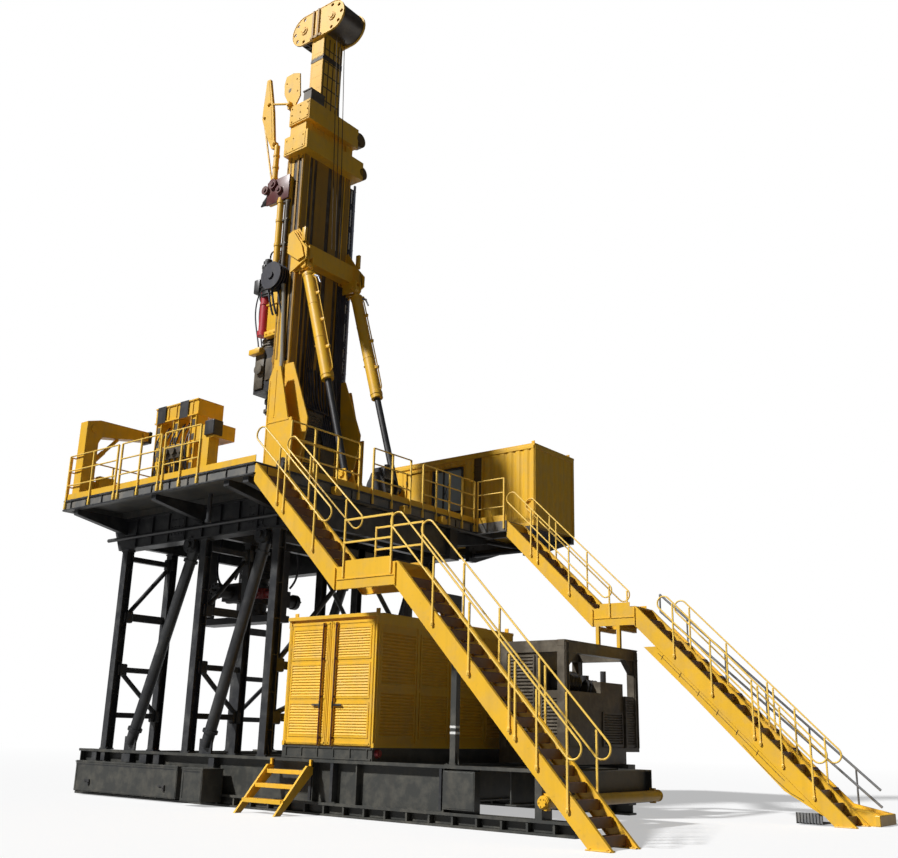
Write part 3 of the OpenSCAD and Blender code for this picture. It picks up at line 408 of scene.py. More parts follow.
def weather_group():
    """Paint broken by faint tone changes, rain streaks, patches of dust and small scuffs."""
    if "weather" in bpy.data.node_groups:
        return bpy.data.node_groups["weather"]
    col, num = "NodeSocketColor", "NodeSocketFloat"
    group, gin, gout = new_group("weather",
                                 [("Paint", col, (0.8, 0.5, 0.05, 1)),
                                  ("Dust", col, (0.35, 0.3, 0.22, 1)),
                                  ("Scuff", col, (0.1, 0.08, 0.06, 1)), ("Dusty", num, 0.3),
                                  ("Scuffed", num, 0.2), ("Streaks", num, 0.3),
                                  ("Roughness", num, 0.45)],
                                 [("Color", col), ("Roughness", num),
                                  ("Normal", "NodeSocketVector")])
    link = group.links.new
    coords = node(group, "ShaderNodeTexCoord")
    tone = node(group, "ShaderNodeTexNoise", Scale=0.9, Detail=4.0)
    fine = node(group, "ShaderNodeTexNoise", Scale=14.0, Detail=6.0, Roughness=0.6)
    grime = node(group, "ShaderNodeTexNoise", Scale=3.0, Detail=8.0, Roughness=0.65)
    stretch = node(group, "ShaderNodeMapping")
    stretch.inputs["Scale"].default_value = (7.0, 7.0, 0.5)
    streak = node(group, "ShaderNodeTexNoise", Scale=1.0, Detail=5.0)
    for tex in (tone, fine, grime, stretch):
        link(coords.outputs["Object"], tex.inputs["Vector"])
    link(stretch.outputs["Vector"], streak.inputs["Vector"])
    tone_map = node(group, "ShaderNodeMapRange", **{"To Min": 0.86, "To Max": 1.1})
    link(tone.outputs["Fac"], tone_map.inputs["Value"])
    toned = node(group, "ShaderNodeVectorMath", operation="SCALE")
    link(gin.outputs["Paint"], toned.inputs[0])
    link(tone_map.outputs["Result"], toned.inputs["Scale"])

    def layer(base, mask, low, high, amount, tint):
        """Mix a tint over the base where the mask lies between low and high."""
        spread = node(group, "ShaderNodeMapRange", **{"From Min": low, "From Max": high})
        share = node(group, "ShaderNodeMath", operation="MULTIPLY")
        mixed = node(group, "ShaderNodeMix", data_type="RGBA")
        wire(group, (mask.outputs["Fac"], spread.inputs["Value"]),
             (spread.outputs["Result"], share.inputs[0]), (gin.outputs[amount], share.inputs[1]),
             (share.outputs[0], mixed.inputs["Factor"]), (base, mixed.inputs["A"]),
             (gin.outputs[tint], mixed.inputs["B"]))
        return mixed.outputs["Result"], share.outputs[0]

    streaked, _ = layer(toned.outputs[0], streak, 0.5, 0.8, "Streaks", "Scuff")
    dusted, dust_share = layer(streaked, grime, 0.45, 0.75, "Dusty", "Dust")
    scuffed, _ = layer(dusted, fine, 0.62, 0.68, "Scuffed", "Scuff")
    link(scuffed, gout.inputs["Color"])
    rough = node(group, "ShaderNodeMath", operation="MULTIPLY_ADD")
    link(dust_share, rough.inputs[0])
    rough.inputs[1].default_value = 0.35
    link(gin.outputs["Roughness"], rough.inputs[2])
    link(rough.outputs[0], gout.inputs["Roughness"])
    bump = node(group, "ShaderNodeBump", Strength=0.12, Distance=0.01)
    link(fine.outputs["Fac"], bump.inputs["Height"])
    link(bump.outputs["Normal"], gout.inputs["Normal"])
    return group


USUAL_WEAR = {"dust": (0.33, 0.28, 0.2), "scuff": (0.12, 0.09, 0.06), "dusty": 0.25,
              "scuffed": 0.15, "streaks": 0.2, "rough": 0.42, "metallic": 0.0, "coat": 0.15}
# look: material's name, colour and what differs from the usual wear
PAINTS = {
    "yellow": ("yellow paint", (0.83, 0.47, 0.022), dict(scuff=(0.30, 0.17, 0.03))),
    "rail": ("rail paint", (0.90, 0.58, 0.09), dict(scuff=(0.40, 0.26, 0.08), dusty=0.12)),
    "black": ("structure paint", (0.022, 0.023, 0.026),
              dict(dust=(0.12, 0.12, 0.11), scuff=(0.06, 0.05, 0.045), dusty=0.5, rough=0.4)),
    "skid": ("skid paint", (0.034, 0.035, 0.031),
             dict(dust=(0.16, 0.145, 0.11), scuff=(0.09, 0.07, 0.05), dusty=0.5, rough=0.5)),
    "deck": ("deck paint", (0.12, 0.12, 0.115), dict(dusty=0.5, rough=0.55)),
    "tread": ("tread plate", (0.16, 0.07, 0.03), dict(dusty=0.3, rough=0.5)),
    "red": ("red paint", (0.30, 0.012, 0.02), dict(dusty=0.2)),
    "machine": ("machine black", (0.018, 0.018, 0.02), dict(dust=(0.09, 0.085, 0.08), dusty=0.4)),
    # brown of machines, also used as painted shade on the yellow pump unit and the collar box
    "brown": ("machine brown", (0.06, 0.047, 0.03), dict(dusty=0.4, rough=0.5)),
    "link": ("link plastic", (0.012, 0.012, 0.022),
             dict(dust=(0.1, 0.1, 0.11), coat=0.0, rough=0.5)),
    "rod": ("bright rod", (0.55, 0.56, 0.58),
            dict(metallic=1.0, rough=0.18, dusty=0.15, scuffed=0.05)),
    "glass": ("tinted glass", (0.34, 0.42, 0.47),
              dict(rough=0.08, dusty=0.1, scuffed=0, coat=0.6)),
    "white": ("white marks", (0.75, 0.75, 0.72), dict(dusty=0.2, scuffed=0.1)),
    "grey": ("grey paint", (0.16, 0.165, 0.17), dict(dusty=0.3)),
    # painted shade: the yellow paint's colour as it looks in shadow
    "shadow_brown": ("yellow brown paint", (0.10, 0.058, 0.012),
                     dict(dust=(0.09, 0.07, 0.04), scuff=(0.05, 0.035, 0.02), dusty=0.3)),
    # painted shade: yellow darkened as it looks in shade, with real dust and scuffs
    "brown_yellow": ("old yellow paint", (0.36, 0.19, 0.015),
                     dict(dust=(0.2, 0.14, 0.06), scuff=(0.1, 0.06, 0.02), dusty=0.35,
                          scuffed=0.3)),
    # dark brown for dark parts, also used as painted deep shade in the mast's channels and a bore
    "dark_brown": ("dark brown paint", (0.035, 0.022, 0.012), dict(dusty=0.3)),
    "dark_red": ("oxide red paint", (0.10, 0.013, 0.014), dict(dusty=0.3)),
    "bright_red": ("signal red paint", (0.48, 0.02, 0.035), dict(dusty=0.15)),
    "braid": ("braided hose", (0.34, 0.33, 0.29), dict(metallic=0.5, rough=0.45, scuffed=0.4)),
    "rope": ("steel rope", (0.06, 0.045, 0.03), dict(metallic=0.6, rough=0.5)),
    "pale_steel": ("pale steel", (0.42, 0.45, 0.55), dict(metallic=0.2, rough=0.4)),
}
SLOT_FINISH = {
    "yellow_paint": "yellow", "rail_paint": "rail", "frame_paint": "black",
    "skid_paint": "skid", "deck_grey": "deck", "tread_steel": "tread",
    "cabin_glass": "glass", "red_paint": "red", "black_machine": "machine",
    "black_plastic": "link", "rod_chrome": "rod", "brown_machine": "brown",
}
SLOT_OF = {look: slot for slot, look in SLOT_FINISH.items()}
NODE_FINISH = {"blowout_preventer": "machine", "raise_rods": "machine"}


def finish(look):
    """The painted steel finish of a look, in the colour set in the panel where it has one."""
    name, paint, differs = PAINTS[look]
    paint = tuple(getattr(bpy.context.scene.rig_paint, look, paint))
    if name in bpy.data.materials:
        return bpy.data.materials[name]
    wear = {**USUAL_WEAR, **differs}
    mat = bpy.data.materials.new(name)
    mat.use_nodes = True
    tree = mat.node_tree
    shader = tree.nodes["Principled BSDF"]
    shader.inputs["Metallic"].default_value = wear["metallic"]
    shader.inputs["Coat Weight"].default_value = wear["coat"]
    shader.inputs["Coat Roughness"].default_value = 0.25
    weather = tree.nodes.new("ShaderNodeGroup")
    weather.node_tree = weather_group()
    for label, value in (("Paint", paint), ("Dust", wear["dust"]), ("Scuff", wear["scuff"])):
        weather.inputs[label].default_value = (*value, 1)
    for label, value in (("Dusty", wear["dusty"]), ("Scuffed", wear["scuffed"]),
                         ("Streaks", wear["streaks"]), ("Roughness", wear["rough"])):
        weather.inputs[label].default_value = value
    wire(tree, (weather.outputs["Color"], shader.inputs["Base Color"]),
         (weather.outputs["Roughness"], shader.inputs["Roughness"]),
         (weather.outputs["Normal"], shader.inputs["Normal"]))
    mat.diffuse_color = (*paint, 1)
    return mat


# ---------------------------------------------------------------- operators
class RIG_OT_stage(bpy.types.Operator):
    """Make the floor, the lights and the camera"""
    bl_idname = "rig.stage"
    bl_label = "Stage"

    def execute(self, context):
        start()
        bpy.ops.mesh.primitive_circle_add(vertices=64, radius=400, fill_type="NGON")
        floor = settle(bpy.context.object)
        floor.name = "studio_floor"
        mat = bpy.data.materials.new("studio floor")
        mat.use_nodes = True
        tree = mat.node_tree
        shader = tree.nodes["Principled BSDF"]
        tone = node(tree, "ShaderNodeMix", data_type="RGBA")
        tone.inputs["A"].default_value = (0.13, 0.13, 0.13, 1)
        tone.inputs["B"].default_value = (0.86, 0.86, 0.86, 1)
        shader.inputs["Roughness"].default_value = 0.9
        glow = node(tree, "ShaderNodeEmission", Color=(1, 1, 1, 1), Strength=1.0)
        path = node(tree, "ShaderNodeLightPath")
        seen = node(tree, "ShaderNodeMath", operation="MAXIMUM")
        coords = node(tree, "ShaderNodeTexCoord")
        far = node(tree, "ShaderNodeVectorMath", operation="LENGTH")
        fade = node(tree, "ShaderNodeMapRange",
                    **{"From Min": 14.0, "From Max": 60.0, "To Min": 0.45})
        share = node(tree, "ShaderNodeMath", operation="MULTIPLY")
        mix = node(tree, "ShaderNodeMixShader")
        camera_ray = path.outputs["Is Camera Ray"]
        wire(tree, (camera_ray, tone.inputs["Factor"]),
             (tone.outputs["Result"], shader.inputs["Base Color"]), (camera_ray, seen.inputs[0]),
             (path.outputs["Is Glossy Ray"], seen.inputs[1]),
             (coords.outputs["Object"], far.inputs[0]),
             (far.outputs["Value"], fade.inputs["Value"]),
             (fade.outputs["Result"], share.inputs[0]), (seen.outputs[0], share.inputs[1]),
             (share.outputs[0], mix.inputs["Fac"]), (shader.outputs[0], mix.inputs[1]),
             (glow.outputs[0], mix.inputs[2]),
             (mix.outputs[0], tree.nodes["Material Output"].inputs["Surface"]))
        floor.data.materials.append(mat)

        world = bpy.data.worlds.new("studio")
        bpy.context.scene.world = world
        world.use_nodes = True
        wt = world.node_tree
        sky = wt.nodes["Background"]
        sky.inputs["Color"].default_value = (0.93, 0.96, 1.0, 1)
        sky.inputs["Strength"].default_value = 0.07
        white = node(wt, "ShaderNodeBackground", Color=(1, 1, 1, 1), Strength=1.0)
        wpath = node(wt, "ShaderNodeLightPath")
        direct = node(wt, "ShaderNodeMath", operation="MAXIMUM")
        wmix = node(wt, "ShaderNodeMixShader")
        wire(wt, (wpath.outputs["Is Camera Ray"], direct.inputs[0]),
             (wpath.outputs["Is Transmission Ray"], direct.inputs[1]),
             (direct.outputs[0], wmix.inputs["Fac"]), (sky.outputs[0], wmix.inputs[1]),
             (white.outputs[0], wmix.inputs[2]),
             (wmix.outputs[0], wt.nodes["World Output"].inputs["Surface"]))

        for name, turn, power, angle in (("key", (48, 0, -28), 4.8, 4),
                                         ("fill", (60, 0, 70), 0.04, 40)):
            lamp = bpy.data.lights.new(name, "SUN")
            lamp.energy = power
            lamp.angle = radians(angle)
            ob = bpy.data.objects.new(name, lamp)
            ob.rotation_euler = [radians(a) for a in turn]
            bpy.context.collection.objects.link(ob)

        view = context.scene.rig_camera
        cam = bpy.data.cameras.new("camera")
        cam.sensor_width = 36
        cam.lens = view.lens
        cam.clip_end = 1000
        eye = bpy.data.objects.new("camera", cam)
        turn, tilt, roll = view.azimuth, view.tilt, view.roll
        ahead = Vector((-sin(turn) * cos(tilt), cos(turn) * cos(tilt), sin(tilt)))
        up = Vector((sin(turn) * sin(tilt), -cos(turn) * sin(tilt), cos(tilt)))
        right = ahead.cross(up)
        side = right * cos(roll) + up * sin(roll)
        top = up * cos(roll) - right * sin(roll)
        eye.matrix_world = Matrix.Translation(view.place) @ Matrix((side, top,
                                                                    -ahead)).transposed().to_4x4()
        bpy.context.collection.objects.link(eye)
        bpy.context.scene.camera = eye
        bpy.context.scene.view_settings.view_transform = "Standard"
        return {"FINISHED"}


class RIG_OT_paint_frame(bpy.types.Operator):
    """Give every node of the frame its finish"""
    bl_idname = "rig.paint_frame"
    bl_label = "Paint the frame"

    def execute(self, context):
        slots = {s["node"]: s["material_slot"] for s in frame["record"]["subparts"]}
        for name, ob in frame["nodes"].items():
            ob.data.materials.clear()
            look = NODE_FINISH.get(name, SLOT_FINISH[slots[name]])
            ob.data.materials.append(finish(look))
        return {"FINISHED"}


class RIG_OT_skid(bpy.types.Operator):
    """Trim the skid: edge strips, black boxes as painted shade in its recesses, panels, tool box
    lids and latches, roller ends
    """
    bl_idname = "rig.skid"
    bl_label = "Skid trim"

    def execute(self, context):
        y = SKID_LO[1]
        top = SKID_HI[2]
        face = at_y(y)
        trim = []
        # lapped edge strips along the upper and lower flange
        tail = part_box("tail_roller")[0][0]
        trim += [on_face(face, SKID_LO[0], top - 0.05, tail, top + 0.006, -0.02, 0.012),
                 on_face(face, SKID_LO[0], 0.185, SKID_HI[0], 0.232, -0.02, 0.012)]
        done(trim, "skid_edge_trim", "skid")
        # black boxes as painted shade in the recesses between the tool boxes and the upper flange,
        # and dark strips further along as painted shade in the gaps
        dark = []
        for x0, x1 in ((-6.2, -6.02), (-5.85, -5.7), (-5.05, -4.75), (-4.4, -4.15),
                       (-3.9, -3.7), (-2.05, -1.88)):
            dark.append(on_face(face, x0, 0.74, x1, top - 0.06, -0.13, -0.005))
        for x0, x1 in ((0.9, 0.96), (1.45, 1.52), (4.03, 4.08)):
            dark.append(on_face(face, x0, 0.25, x1, top - 0.05, -0.13, 0.004))
        done(dark, "skid_hooks", "black")
        # light panels between the ribs of the runner
        panel = on_face(face, SKID_LO[0] + 0.06, 0.045, SKID_LO[0] + 0.46, 0.18, -0.12, -0.1)
        plates = [row(panel, 26, (0.5, 0, 0)),
                  bevelled(on_face(face, 4.13, 0.3, 4.76, 0.88, -0.01, 0.006), 0.004)]
        done(plates, "skid_runner_panels", "skid")
        # tool box lids, seams and latches
        lid = []
        seam = []
        for x0, x1, yy in ((-6.4, -2.72, -3.03), (-2.2, -1.55, -3.32)):
            lid.append(block((x0, yy - 0.012, 0.66), (x1, yy + 0.01, 0.735), 0.006))
            for a, b in ((x0 + 0.02, x0 + 0.06), (x1 - 0.06, x1 - 0.02)):
                lid.append(cube((a, yy - 0.008, 0.1), (b, yy + 0.002, 0.66)))
            lid.append(cube((x0 + 0.06, yy - 0.008, 0.1), (x1 - 0.06, yy + 0.002, 0.14)))
            seam.append(cube((x0, yy - 0.004, 0.645), (x1, yy + 0.004, 0.66)))
        latch = joined([block((-6.02, -3.06, 0.3), (-5.86, -3.03, 0.33), 0.004),
                        block((-5.87, -3.065, 0.22), (-5.8, -3.03, 0.34), 0.006),
                        axle(-5.83, 0.28, -3.03, -3.075, 0.018, 12)])
        latches = copies(latch, [(2.71, 0, 0)])
        done(lid, "tool_box_lids", "skid")
        done(seam, "tool_box_seams", "black")
        done(latches, "tool_box_latches", "machine", soft=True)
        # tail roller: end rings and pins
        lo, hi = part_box("tail_roller")
        zc = (lo[2] + hi[2]) / 2
        xc = hi[0] - 0.095
        ends = []
        for s in SIDES:
            yy = hi[1] if s > 0 else lo[1]
            ends += [axle(xc, zc, yy, yy + s * 0.02, 0.075, 24),
                     bolts(around(at_y(yy, s), xc, zc, 0.06, 0.02, 0, 5.24, 6), (0, s, 0), 0.012,
                           0.012), axle(xc, zc, yy - s * 0.05, yy - s * 0.02, 0.105, 32)]
        done(ends, "tail_roller_ends", "yellow", soft=True)
        return {"FINISHED"}


class RIG_OT_ladder(bpy.types.Operator):
    """Dress the short ladder: folded tread edges, hooks and grip strips"""
    bl_idname = "rig.ladder"
    bl_label = "Ladder"

    def execute(self, context):
        lo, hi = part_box("access_ladder")
        run, top = 0.9, 0.86
        parts, grips = [], []
        y_top = hi[1] - 0.005 - 0.005
        for k in (0.13, 0.42, 0.72):
            y = SKID_LO[1] - 0.005 - run * k
            z = top * (1 - k)
            parts.append(block((lo[0] + 0.05, y - 0.075, z - 0.05),
                               (hi[0] - 0.05, y - 0.05, z + 0.026), 0.005))
            grip = cube((lo[0] + 0.09, y - 0.045, z + 0.02), (lo[0] + 0.12, y + 0.09, z + 0.027))
            grips.append(row(grip, 17, (0.057, 0, 0)))
        hook = joined([tube((lo[0] + 0.025, y_top - 0.1, top - 0.1),
                            (lo[0] + 0.025, y_top + 0.02, top + 0.06), 0.02, 10),
                       cube((lo[0] - 0.01, y_top - 0.02, top - 0.02),
                            (lo[0] + 0.06, y_top, top + 0.09))])
        hooks = copies(hook, [(hi[0] - lo[0] - 0.05, 0, 0)])
        done(parts, "ladder_tread_edges", "yellow")
        done(grips, "ladder_grips", "yellow")
        done(hooks, "ladder_hooks", "black", soft=True)
        return {"FINISHED"}


class RIG_OT_substructure(bpy.types.Operator):
    """Stiffeners, bolts, pins, rings, ribs and plates of the columns and girders"""
    bl_idname = "rig.substructure"
    bl_label = "Substructure"

    def execute(self, context):
        lo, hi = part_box("columns")
        xs = COLUMN_X
        parts, heads = [], []
        for x in xs:
            for s in SIDES:
                y = s * COLUMN_Y
                for z in grid(lo[2] + 0.5, hi[2] - 0.4, 6):
                    parts.append(cube((x - 0.095, y - 0.076, z),
                                      (x + 0.095, y + 0.076, z + 0.014)))
                for e in SIDES:
                    parts.append(outline([(0, 0), (e * 0.04, 0), (0, 0.2)], (y - 0.008, y + 0.008),
                                         lambda a, b, t, x=x, e=e: (x + e * 0.1 + a,
                                                                    t, lo[2] + 0.03 + b)))
                heads.append(bolts([(x + dx, y + dy, lo[2] + 0.03) for dx in (-0.12, 0.12)
                                    for dy in (-0.06, 0.06)], (0, 0, 1), 0.016, 0.018))
        done(parts, "column_stiffeners", "black")
        done(heads, "column_bolts", "black")
        # round pinned ears at the head of the front columns
        ears = []
        for x in (xs[1] - 0.42, xs[2] - 0.42):
            y = -2.58
            ears += [axle(x, 5.5, y - 0.1, y + 0.02, 0.19, 28),
                     axle(x, 5.5, y - 0.16, y - 0.1, 0.08, 20),
                     bolts(around(at_y(y), x, 5.5, 0.14, 0.1, 0.4, 5.6, 6),
                           (0, -1, 0), 0.018, 0.018)]
        done(ears, "brace_pins", "black", soft=True)
        # bolted rings on the leaning pipes
        rings = []
        for p, q in BRACES:
            for y in (-COLUMN_Y, COLUMN_Y):
                for f in (0.07, 0.93):
                    c = Vector((p[0] + (q[0] - p[0]) * f, y, p[1] + (q[1] - p[1]) * f))
                    d = Vector((q[0] - p[0], 0, q[1] - p[1])).normalized()
                    rings.append(tube(c - d * 0.03, c + d * 0.03, 0.165, 24))
        done(rings, "brace_rings", "black", soft=True)
        # girder stiffeners and bolted splice plates
        ribs = []
        g_lo, g_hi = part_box("floor_girders")
        for s in SIDES:
            face = at_y(s * 2.65, s)
            rib = on_face(face, -5.6, g_lo[2] + 0.03, -5.58, FLOOR_LO[2] - 0.03, 0.0, 0.05)
            ribs += [row(rib, 10, (0.62, 0, 0)),
                     on_face(face, -6.2, FLOOR_LO[2] - 0.04, g_hi[0], FLOOR_LO[2], 0, 0.07),
                     on_face(face, -6.0, g_lo[2], g_hi[0], g_lo[2] + 0.03, 0, 0.07)]
            for x in (-4.3, -1.6):
                ribs += [on_face(face, x, g_lo[2] + 0.12, x + 0.5, FLOOR_LO[2] - 0.12, 0, 0.02),
                         bolts([face(x + a, b, 0.02) for a in (0.06, 0.18, 0.32, 0.44)
                                for b in (g_lo[2] + 0.2, g_lo[2] + 0.37, g_lo[2] + 0.54)],
                               (0, s, 0), 0.018, 0.018)]
        done(ribs, "girder_ribs", "black")
        # short pipe under the floor's front edge
        pipes = [post(-1.75, -3.6, 6.28, 5.72, 0.05, 16), post(-1.75, -3.6, 5.72, 5.66, 0.07, 16)]
        done(pipes, "under_floor_pipe", "black", soft=True)
        # cross braces with gusset plates at both ends
        plates = []
        low, mid, high = 1.742, 2.782, 5.415
        for x, spots in ((xs[0], ((1.26, low), (2.34, mid), (2.34, mid + 1.24), (1.26, high))),
                         (xs[1], ((1.26, low), (2.34, mid), (2.34, mid + 1.24), (1.26, high))),
                         (xs[2], ((0, mid), (0, high), (2.3, low), (2.3, mid)))):
            for yy, zz in [(s * a, b) for s in SIDES for a, b in spots]:
                plates.append(block((x - 0.07, yy - 0.13, zz - 0.14),
                                    (x + 0.07, yy + 0.13, zz + 0.14), 0.03))
        done(plates, "cross_brace_plates", "black")
        return {"FINISHED"}


class RIG_OT_floor(bpy.types.Operator):
    """Dress the drill floor: edge channel, deck plates, brackets, winch and lines"""
    bl_idname = "rig.floor"
    bl_label = "Drill floor"

    def execute(self, context):
        x0, x1, y0, y1 = FLOOR_LO[0], 0.18, FLOOR_LO[1], FLOOR_HI[1]
        z0 = FLOOR_LO[2]
        # lips and ribs of the edge channel
        lips = []
        for face, a0, a1 in ((at_y(y0), x0, x1), (at_y(y1, 1), x0, -3.9), (at_x(x0, -1), y0, y1),
                             (at_x(x1, 1), y0, y1 - 0.85)):
            lips += [on_face(face, a0, DECK - 0.035, a1, DECK + 0.004, 0, 0.03),
                     on_face(face, a0, z0, a1, z0 + 0.03, 0, 0.035)]
            step = shift(face, 0.62, 0)
            rib = on_face(face, a0 + 0.3, z0 + 0.03, a0 + 0.315, DECK - 0.035, 0, 0.028)
            lips.append(row(rib, int((a1 - a0 - 0.4) / 0.62) + 1, step))
        done(lips, "floor_edge_channel", "black", slot="deck_grey")
        # raised deck plates with seams
        plates = []
        for cx in grid(x0 + 0.55, x1 - 0.55, 6):
            for cy in grid(y0 + 0.7, y1 - 0.7, 6):
                if abs(cx - WELL_X) < 0.95 and abs(cy) < 0.8:
                    continue
                if -3.5 < cx < -0.1 and abs(cy) < 1.6:
                    continue
                plates.append(block((cx - 0.54, cy - 0.66, DECK),
                                    (cx + 0.54, cy + 0.66, DECK + 0.006), 0.003, 1))
        done(plates, "deck_plates", "deck")
        bush = joined([post(WELL_X, 0, DECK + 0.001, DECK + 0.05, 0.42, 40),
                       post(WELL_X, 0, DECK + 0.05, DECK + 0.1, 0.34, 40)])
        done(bush, "well_bushing", "machine", soft=True)
        # brackets under the toe board on the stair side
        brackets = []
        for y in (-1.9, 0.35, 1.75):
            z = DECK - 0.24
            brackets += [block((x1, y - 0.05, z), (x1 + 0.18, y + 0.05, z + 0.16), 0.01),
                         cube((x1 + 0.12, y - 0.09, z - 0.03), (x1 + 0.2, y + 0.09, z + 0.09))]
        done(brackets, "edge_brackets", "yellow")
        # small winch beside the raising cylinder's foot
        sizes = context.scene.rig_sizes
        cx, cy = sizes.winch_x, sizes.winch_y
        winch = [block((cx - 0.55, cy - 0.28, DECK), (cx + 0.1, cy + 0.22, DECK + 0.12), 0.01),
                 axle(cx - 0.3, DECK + 0.42, cy - 0.25, cy + 0.18, 0.2, 28),
                 axle(cx - 0.3, DECK + 0.42, cy - 0.28, cy - 0.24, 0.29, 32),
                 axle(cx - 0.3, DECK + 0.42, cy + 0.17, cy + 0.21, 0.29, 32),
                 block((cx - 0.5, cy - 0.2, DECK + 0.6), (cx - 0.1, cy + 0.15, DECK + 0.9), 0.03),
                 post(cx - 0.2, cy, DECK + 0.88, DECK + 0.98, 0.07, 16),
                 outline([(-0.55, 0.1), (0.1, 0.1), (0.0, 0.5), (-0.2, 0.75), (-0.42, 0.75),
                          (-0.55, 0.45)], (cy - 0.31, cy - 0.28),
                         lambda a, b, t: (cx + a, t, DECK + b))]
        done(winch, "deck_winch", "machine", soft=True)
        # hydraulic lines along the deck to the mast's feet
        lines = []
        for k in range(5):
            y = 1.35 + k * 0.07
            lines.append(hose([(x1 - 0.2, y, DECK + 0.05), (-0.9, y, DECK + 0.05),
                               (-1.5, y - 0.02, DECK + 0.06), (-2.0, y - 0.05, DECK + 0.2),
                               (-2.3, y - 0.1, DECK + 0.5)], 0.022, 8))
        done(lines, "deck_lines", "link", soft=True)
        return {"FINISHED"}


class RIG_OT_stairs(bpy.types.Operator):
    """Dress both stairs: landing plates, feet, tread nosings, clamps, grids and post trim"""
    bl_idname = "rig.stairs"
    bl_label = "Stairs"

    def execute(self, context):
        for k in (1, 2):
            lo, hi = STAIR_LO[k], STAIR_HI[k]
            x0, y0, y1 = lo[0], lo[1], hi[1]
            top, mid = DECK, LANDING_Z
            flat = LANDING_RUN[k]
            run = STAIR_RUN - flat
            xa, xb = x0 + UPPER_RUN, x0 + UPPER_RUN + flat
            up, down = (top - mid) / UPPER_RUN, mid / run
            joints = []
            for y, s in ((y0, -1), (y1, 1)):
                face = at_y(y, s)
                # end plates at the landing
                joints += [on_face(face, xa - 0.04, mid - 0.4, xa - 0.02, mid - 0.02, 0, 0.03),
                           on_face(face, xb - 0.04, mid - 0.4, xb - 0.02, mid - 0.02, 0, 0.03),
                           on_face(face, xa, mid - 0.235, xb - 0.05, mid - 0.22, 0, 0.014)]
            done(joints, "stair_%d_joint_plates" % k, "yellow")
            # foot pads
            foot = [block((hi[0] - 0.42, y0 - 0.03, 0.0), (hi[0] - 0.02, y0 + 0.11, 0.02), 0.005),
                    block((hi[0] - 0.42, y1 - 0.11, 0.0), (hi[0] - 0.02, y1 + 0.03, 0.02), 0.005)]
            foot.append(bolts([(hi[0] - a, y, 0.02) for a in (0.08, 0.36)
                               for y in (y0 - 0.01, y0 + 0.09, y1 - 0.09, y1 + 0.01)], (0, 0, 1)))
            done(foot, "stair_%d_feet" % k, "yellow")
            # checkered nosing bars on the treads and bent tread ends
            bars = []
            flights = ((x0, top, 9, UPPER_RUN / 10, (top - mid) / 10),
                       (xb, mid, 18, run / 19, mid / 19))
            for start_x, start_z, count, going, rise in flights:
                bar = joined([cube((start_x + going - 0.03, y0 + 0.07, start_z - rise - 0.058),
                                   (start_x + going + 0.004, y1 - 0.07, start_z - rise - 0.045)),
                              cube((start_x + 0.03, y0 + 0.06, start_z - rise - 0.059),
                                   (start_x + 0.04, y1 - 0.06, start_z - rise - 0.05)),
                              cube((start_x + 0.1, y0 + 0.06, start_z - rise - 0.059),
                                   (start_x + 0.11, y1 - 0.06, start_z - rise - 0.05))])
                ends = [cube((start_x + 0.012, y + 0.014 if s > 0 else y - 0.02,
                              start_z - rise - 0.2),
                             (start_x + going - 0.015, y + 0.02 if s > 0 else y - 0.014,
                              start_z - rise - 0.075)) for y, s in ((y0, 1), (y1, -1))]
                bars.append(row(joined([bar] + ends), count, (going, 0, -rise)))
            done(bars, "stair_%d_nosings" % k, "tread")
            # clamps where the rail posts meet the sides
            clamps = []
            for x, z in [(x0 + a, top - a * up)
                         for a in (0.71, 0.9, 1.77)] + [(xb + run * a, mid - run * a * down)
                                                        for a in (0.197, 0.383, 0.575,
                                                                  0.602, 0.697, 0.825)]:
                for y, s in ((y0, -1), (y1, 1)):
                    face = at_y(y + s * 0.03, s)
                    clamps += [bevelled(on_face(face, x - 0.01, z - 0.28, x + 0.04, z - 0.22,
                                                -0.01, 0.01), 0.004),
                               bolts([face(x + 0.015, z - 0.25, 0.01)], (0, s, 0), 0.01, 0.008)]
            done(clamps, "stair_%d_clamps" % k, "rail")
            # landing grid: bearing bars and cross rods
            bar = cube((xa + 0.03, y0 + 0.07, mid), (xa + 0.036, y1 - 0.07, mid + 0.02))
            grid_bars = [row(bar, int((flat - 0.06) / 0.04), (0.04, 0, 0))]
            rod = spar(y0 + 0.1, mid + 0.014, xa + 0.03, xb - 0.06, 0.004, 6)
            grid_bars.append(row(rod, 7, (0, 0.1, 0)))
            kick = [cube((xa + 0.15, y0, mid), (xb - 0.15, y0 + 0.008, mid + 0.1)),
                    cube((xa + 0.15, y1 - 0.008, mid), (xb - 0.15, y1, mid + 0.1))]
            done(grid_bars, "stair_%d_landing_grid" % k, "tread")
            done(kick, "stair_%d_kick_plates" % k, "yellow")
        # white bands and base bolts on the front landing's post
        lo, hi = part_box("landing_post")
        x0, x1 = lo[0] + 0.06, hi[0] - 0.06
        y1 = hi[1] - 0.06
        y0 = y1 - 0.115
        bands = [cube((x0 - 0.004, y0 - 0.004, z), (x1 + 0.004, y1 + 0.004, z + 0.04))
                 for z in (1.49, 1.59)]
        done(bands, "post_bands", "white", slot="rail_paint")
        ribs = []
        for s, x in ((-1, x0), (1, x1)):
            ribs.append(outline([(0, 0), (s * 0.055, 0), (0, 0.2)], (y0 + 0.05, y0 + 0.065),
                                lambda a, b, t, x=x: (x + a, t, lo[2] + 0.02 + b)))
        ribs.append(bolts([(x, y, lo[2] + 0.02) for x in (x0 - 0.03, x1 + 0.03)
                           for y in (y0 - 0.03, y1 + 0.03)], (0, 0, 1)))
        done(ribs, "post_ribs", "skid")
        return {"FINISHED"}


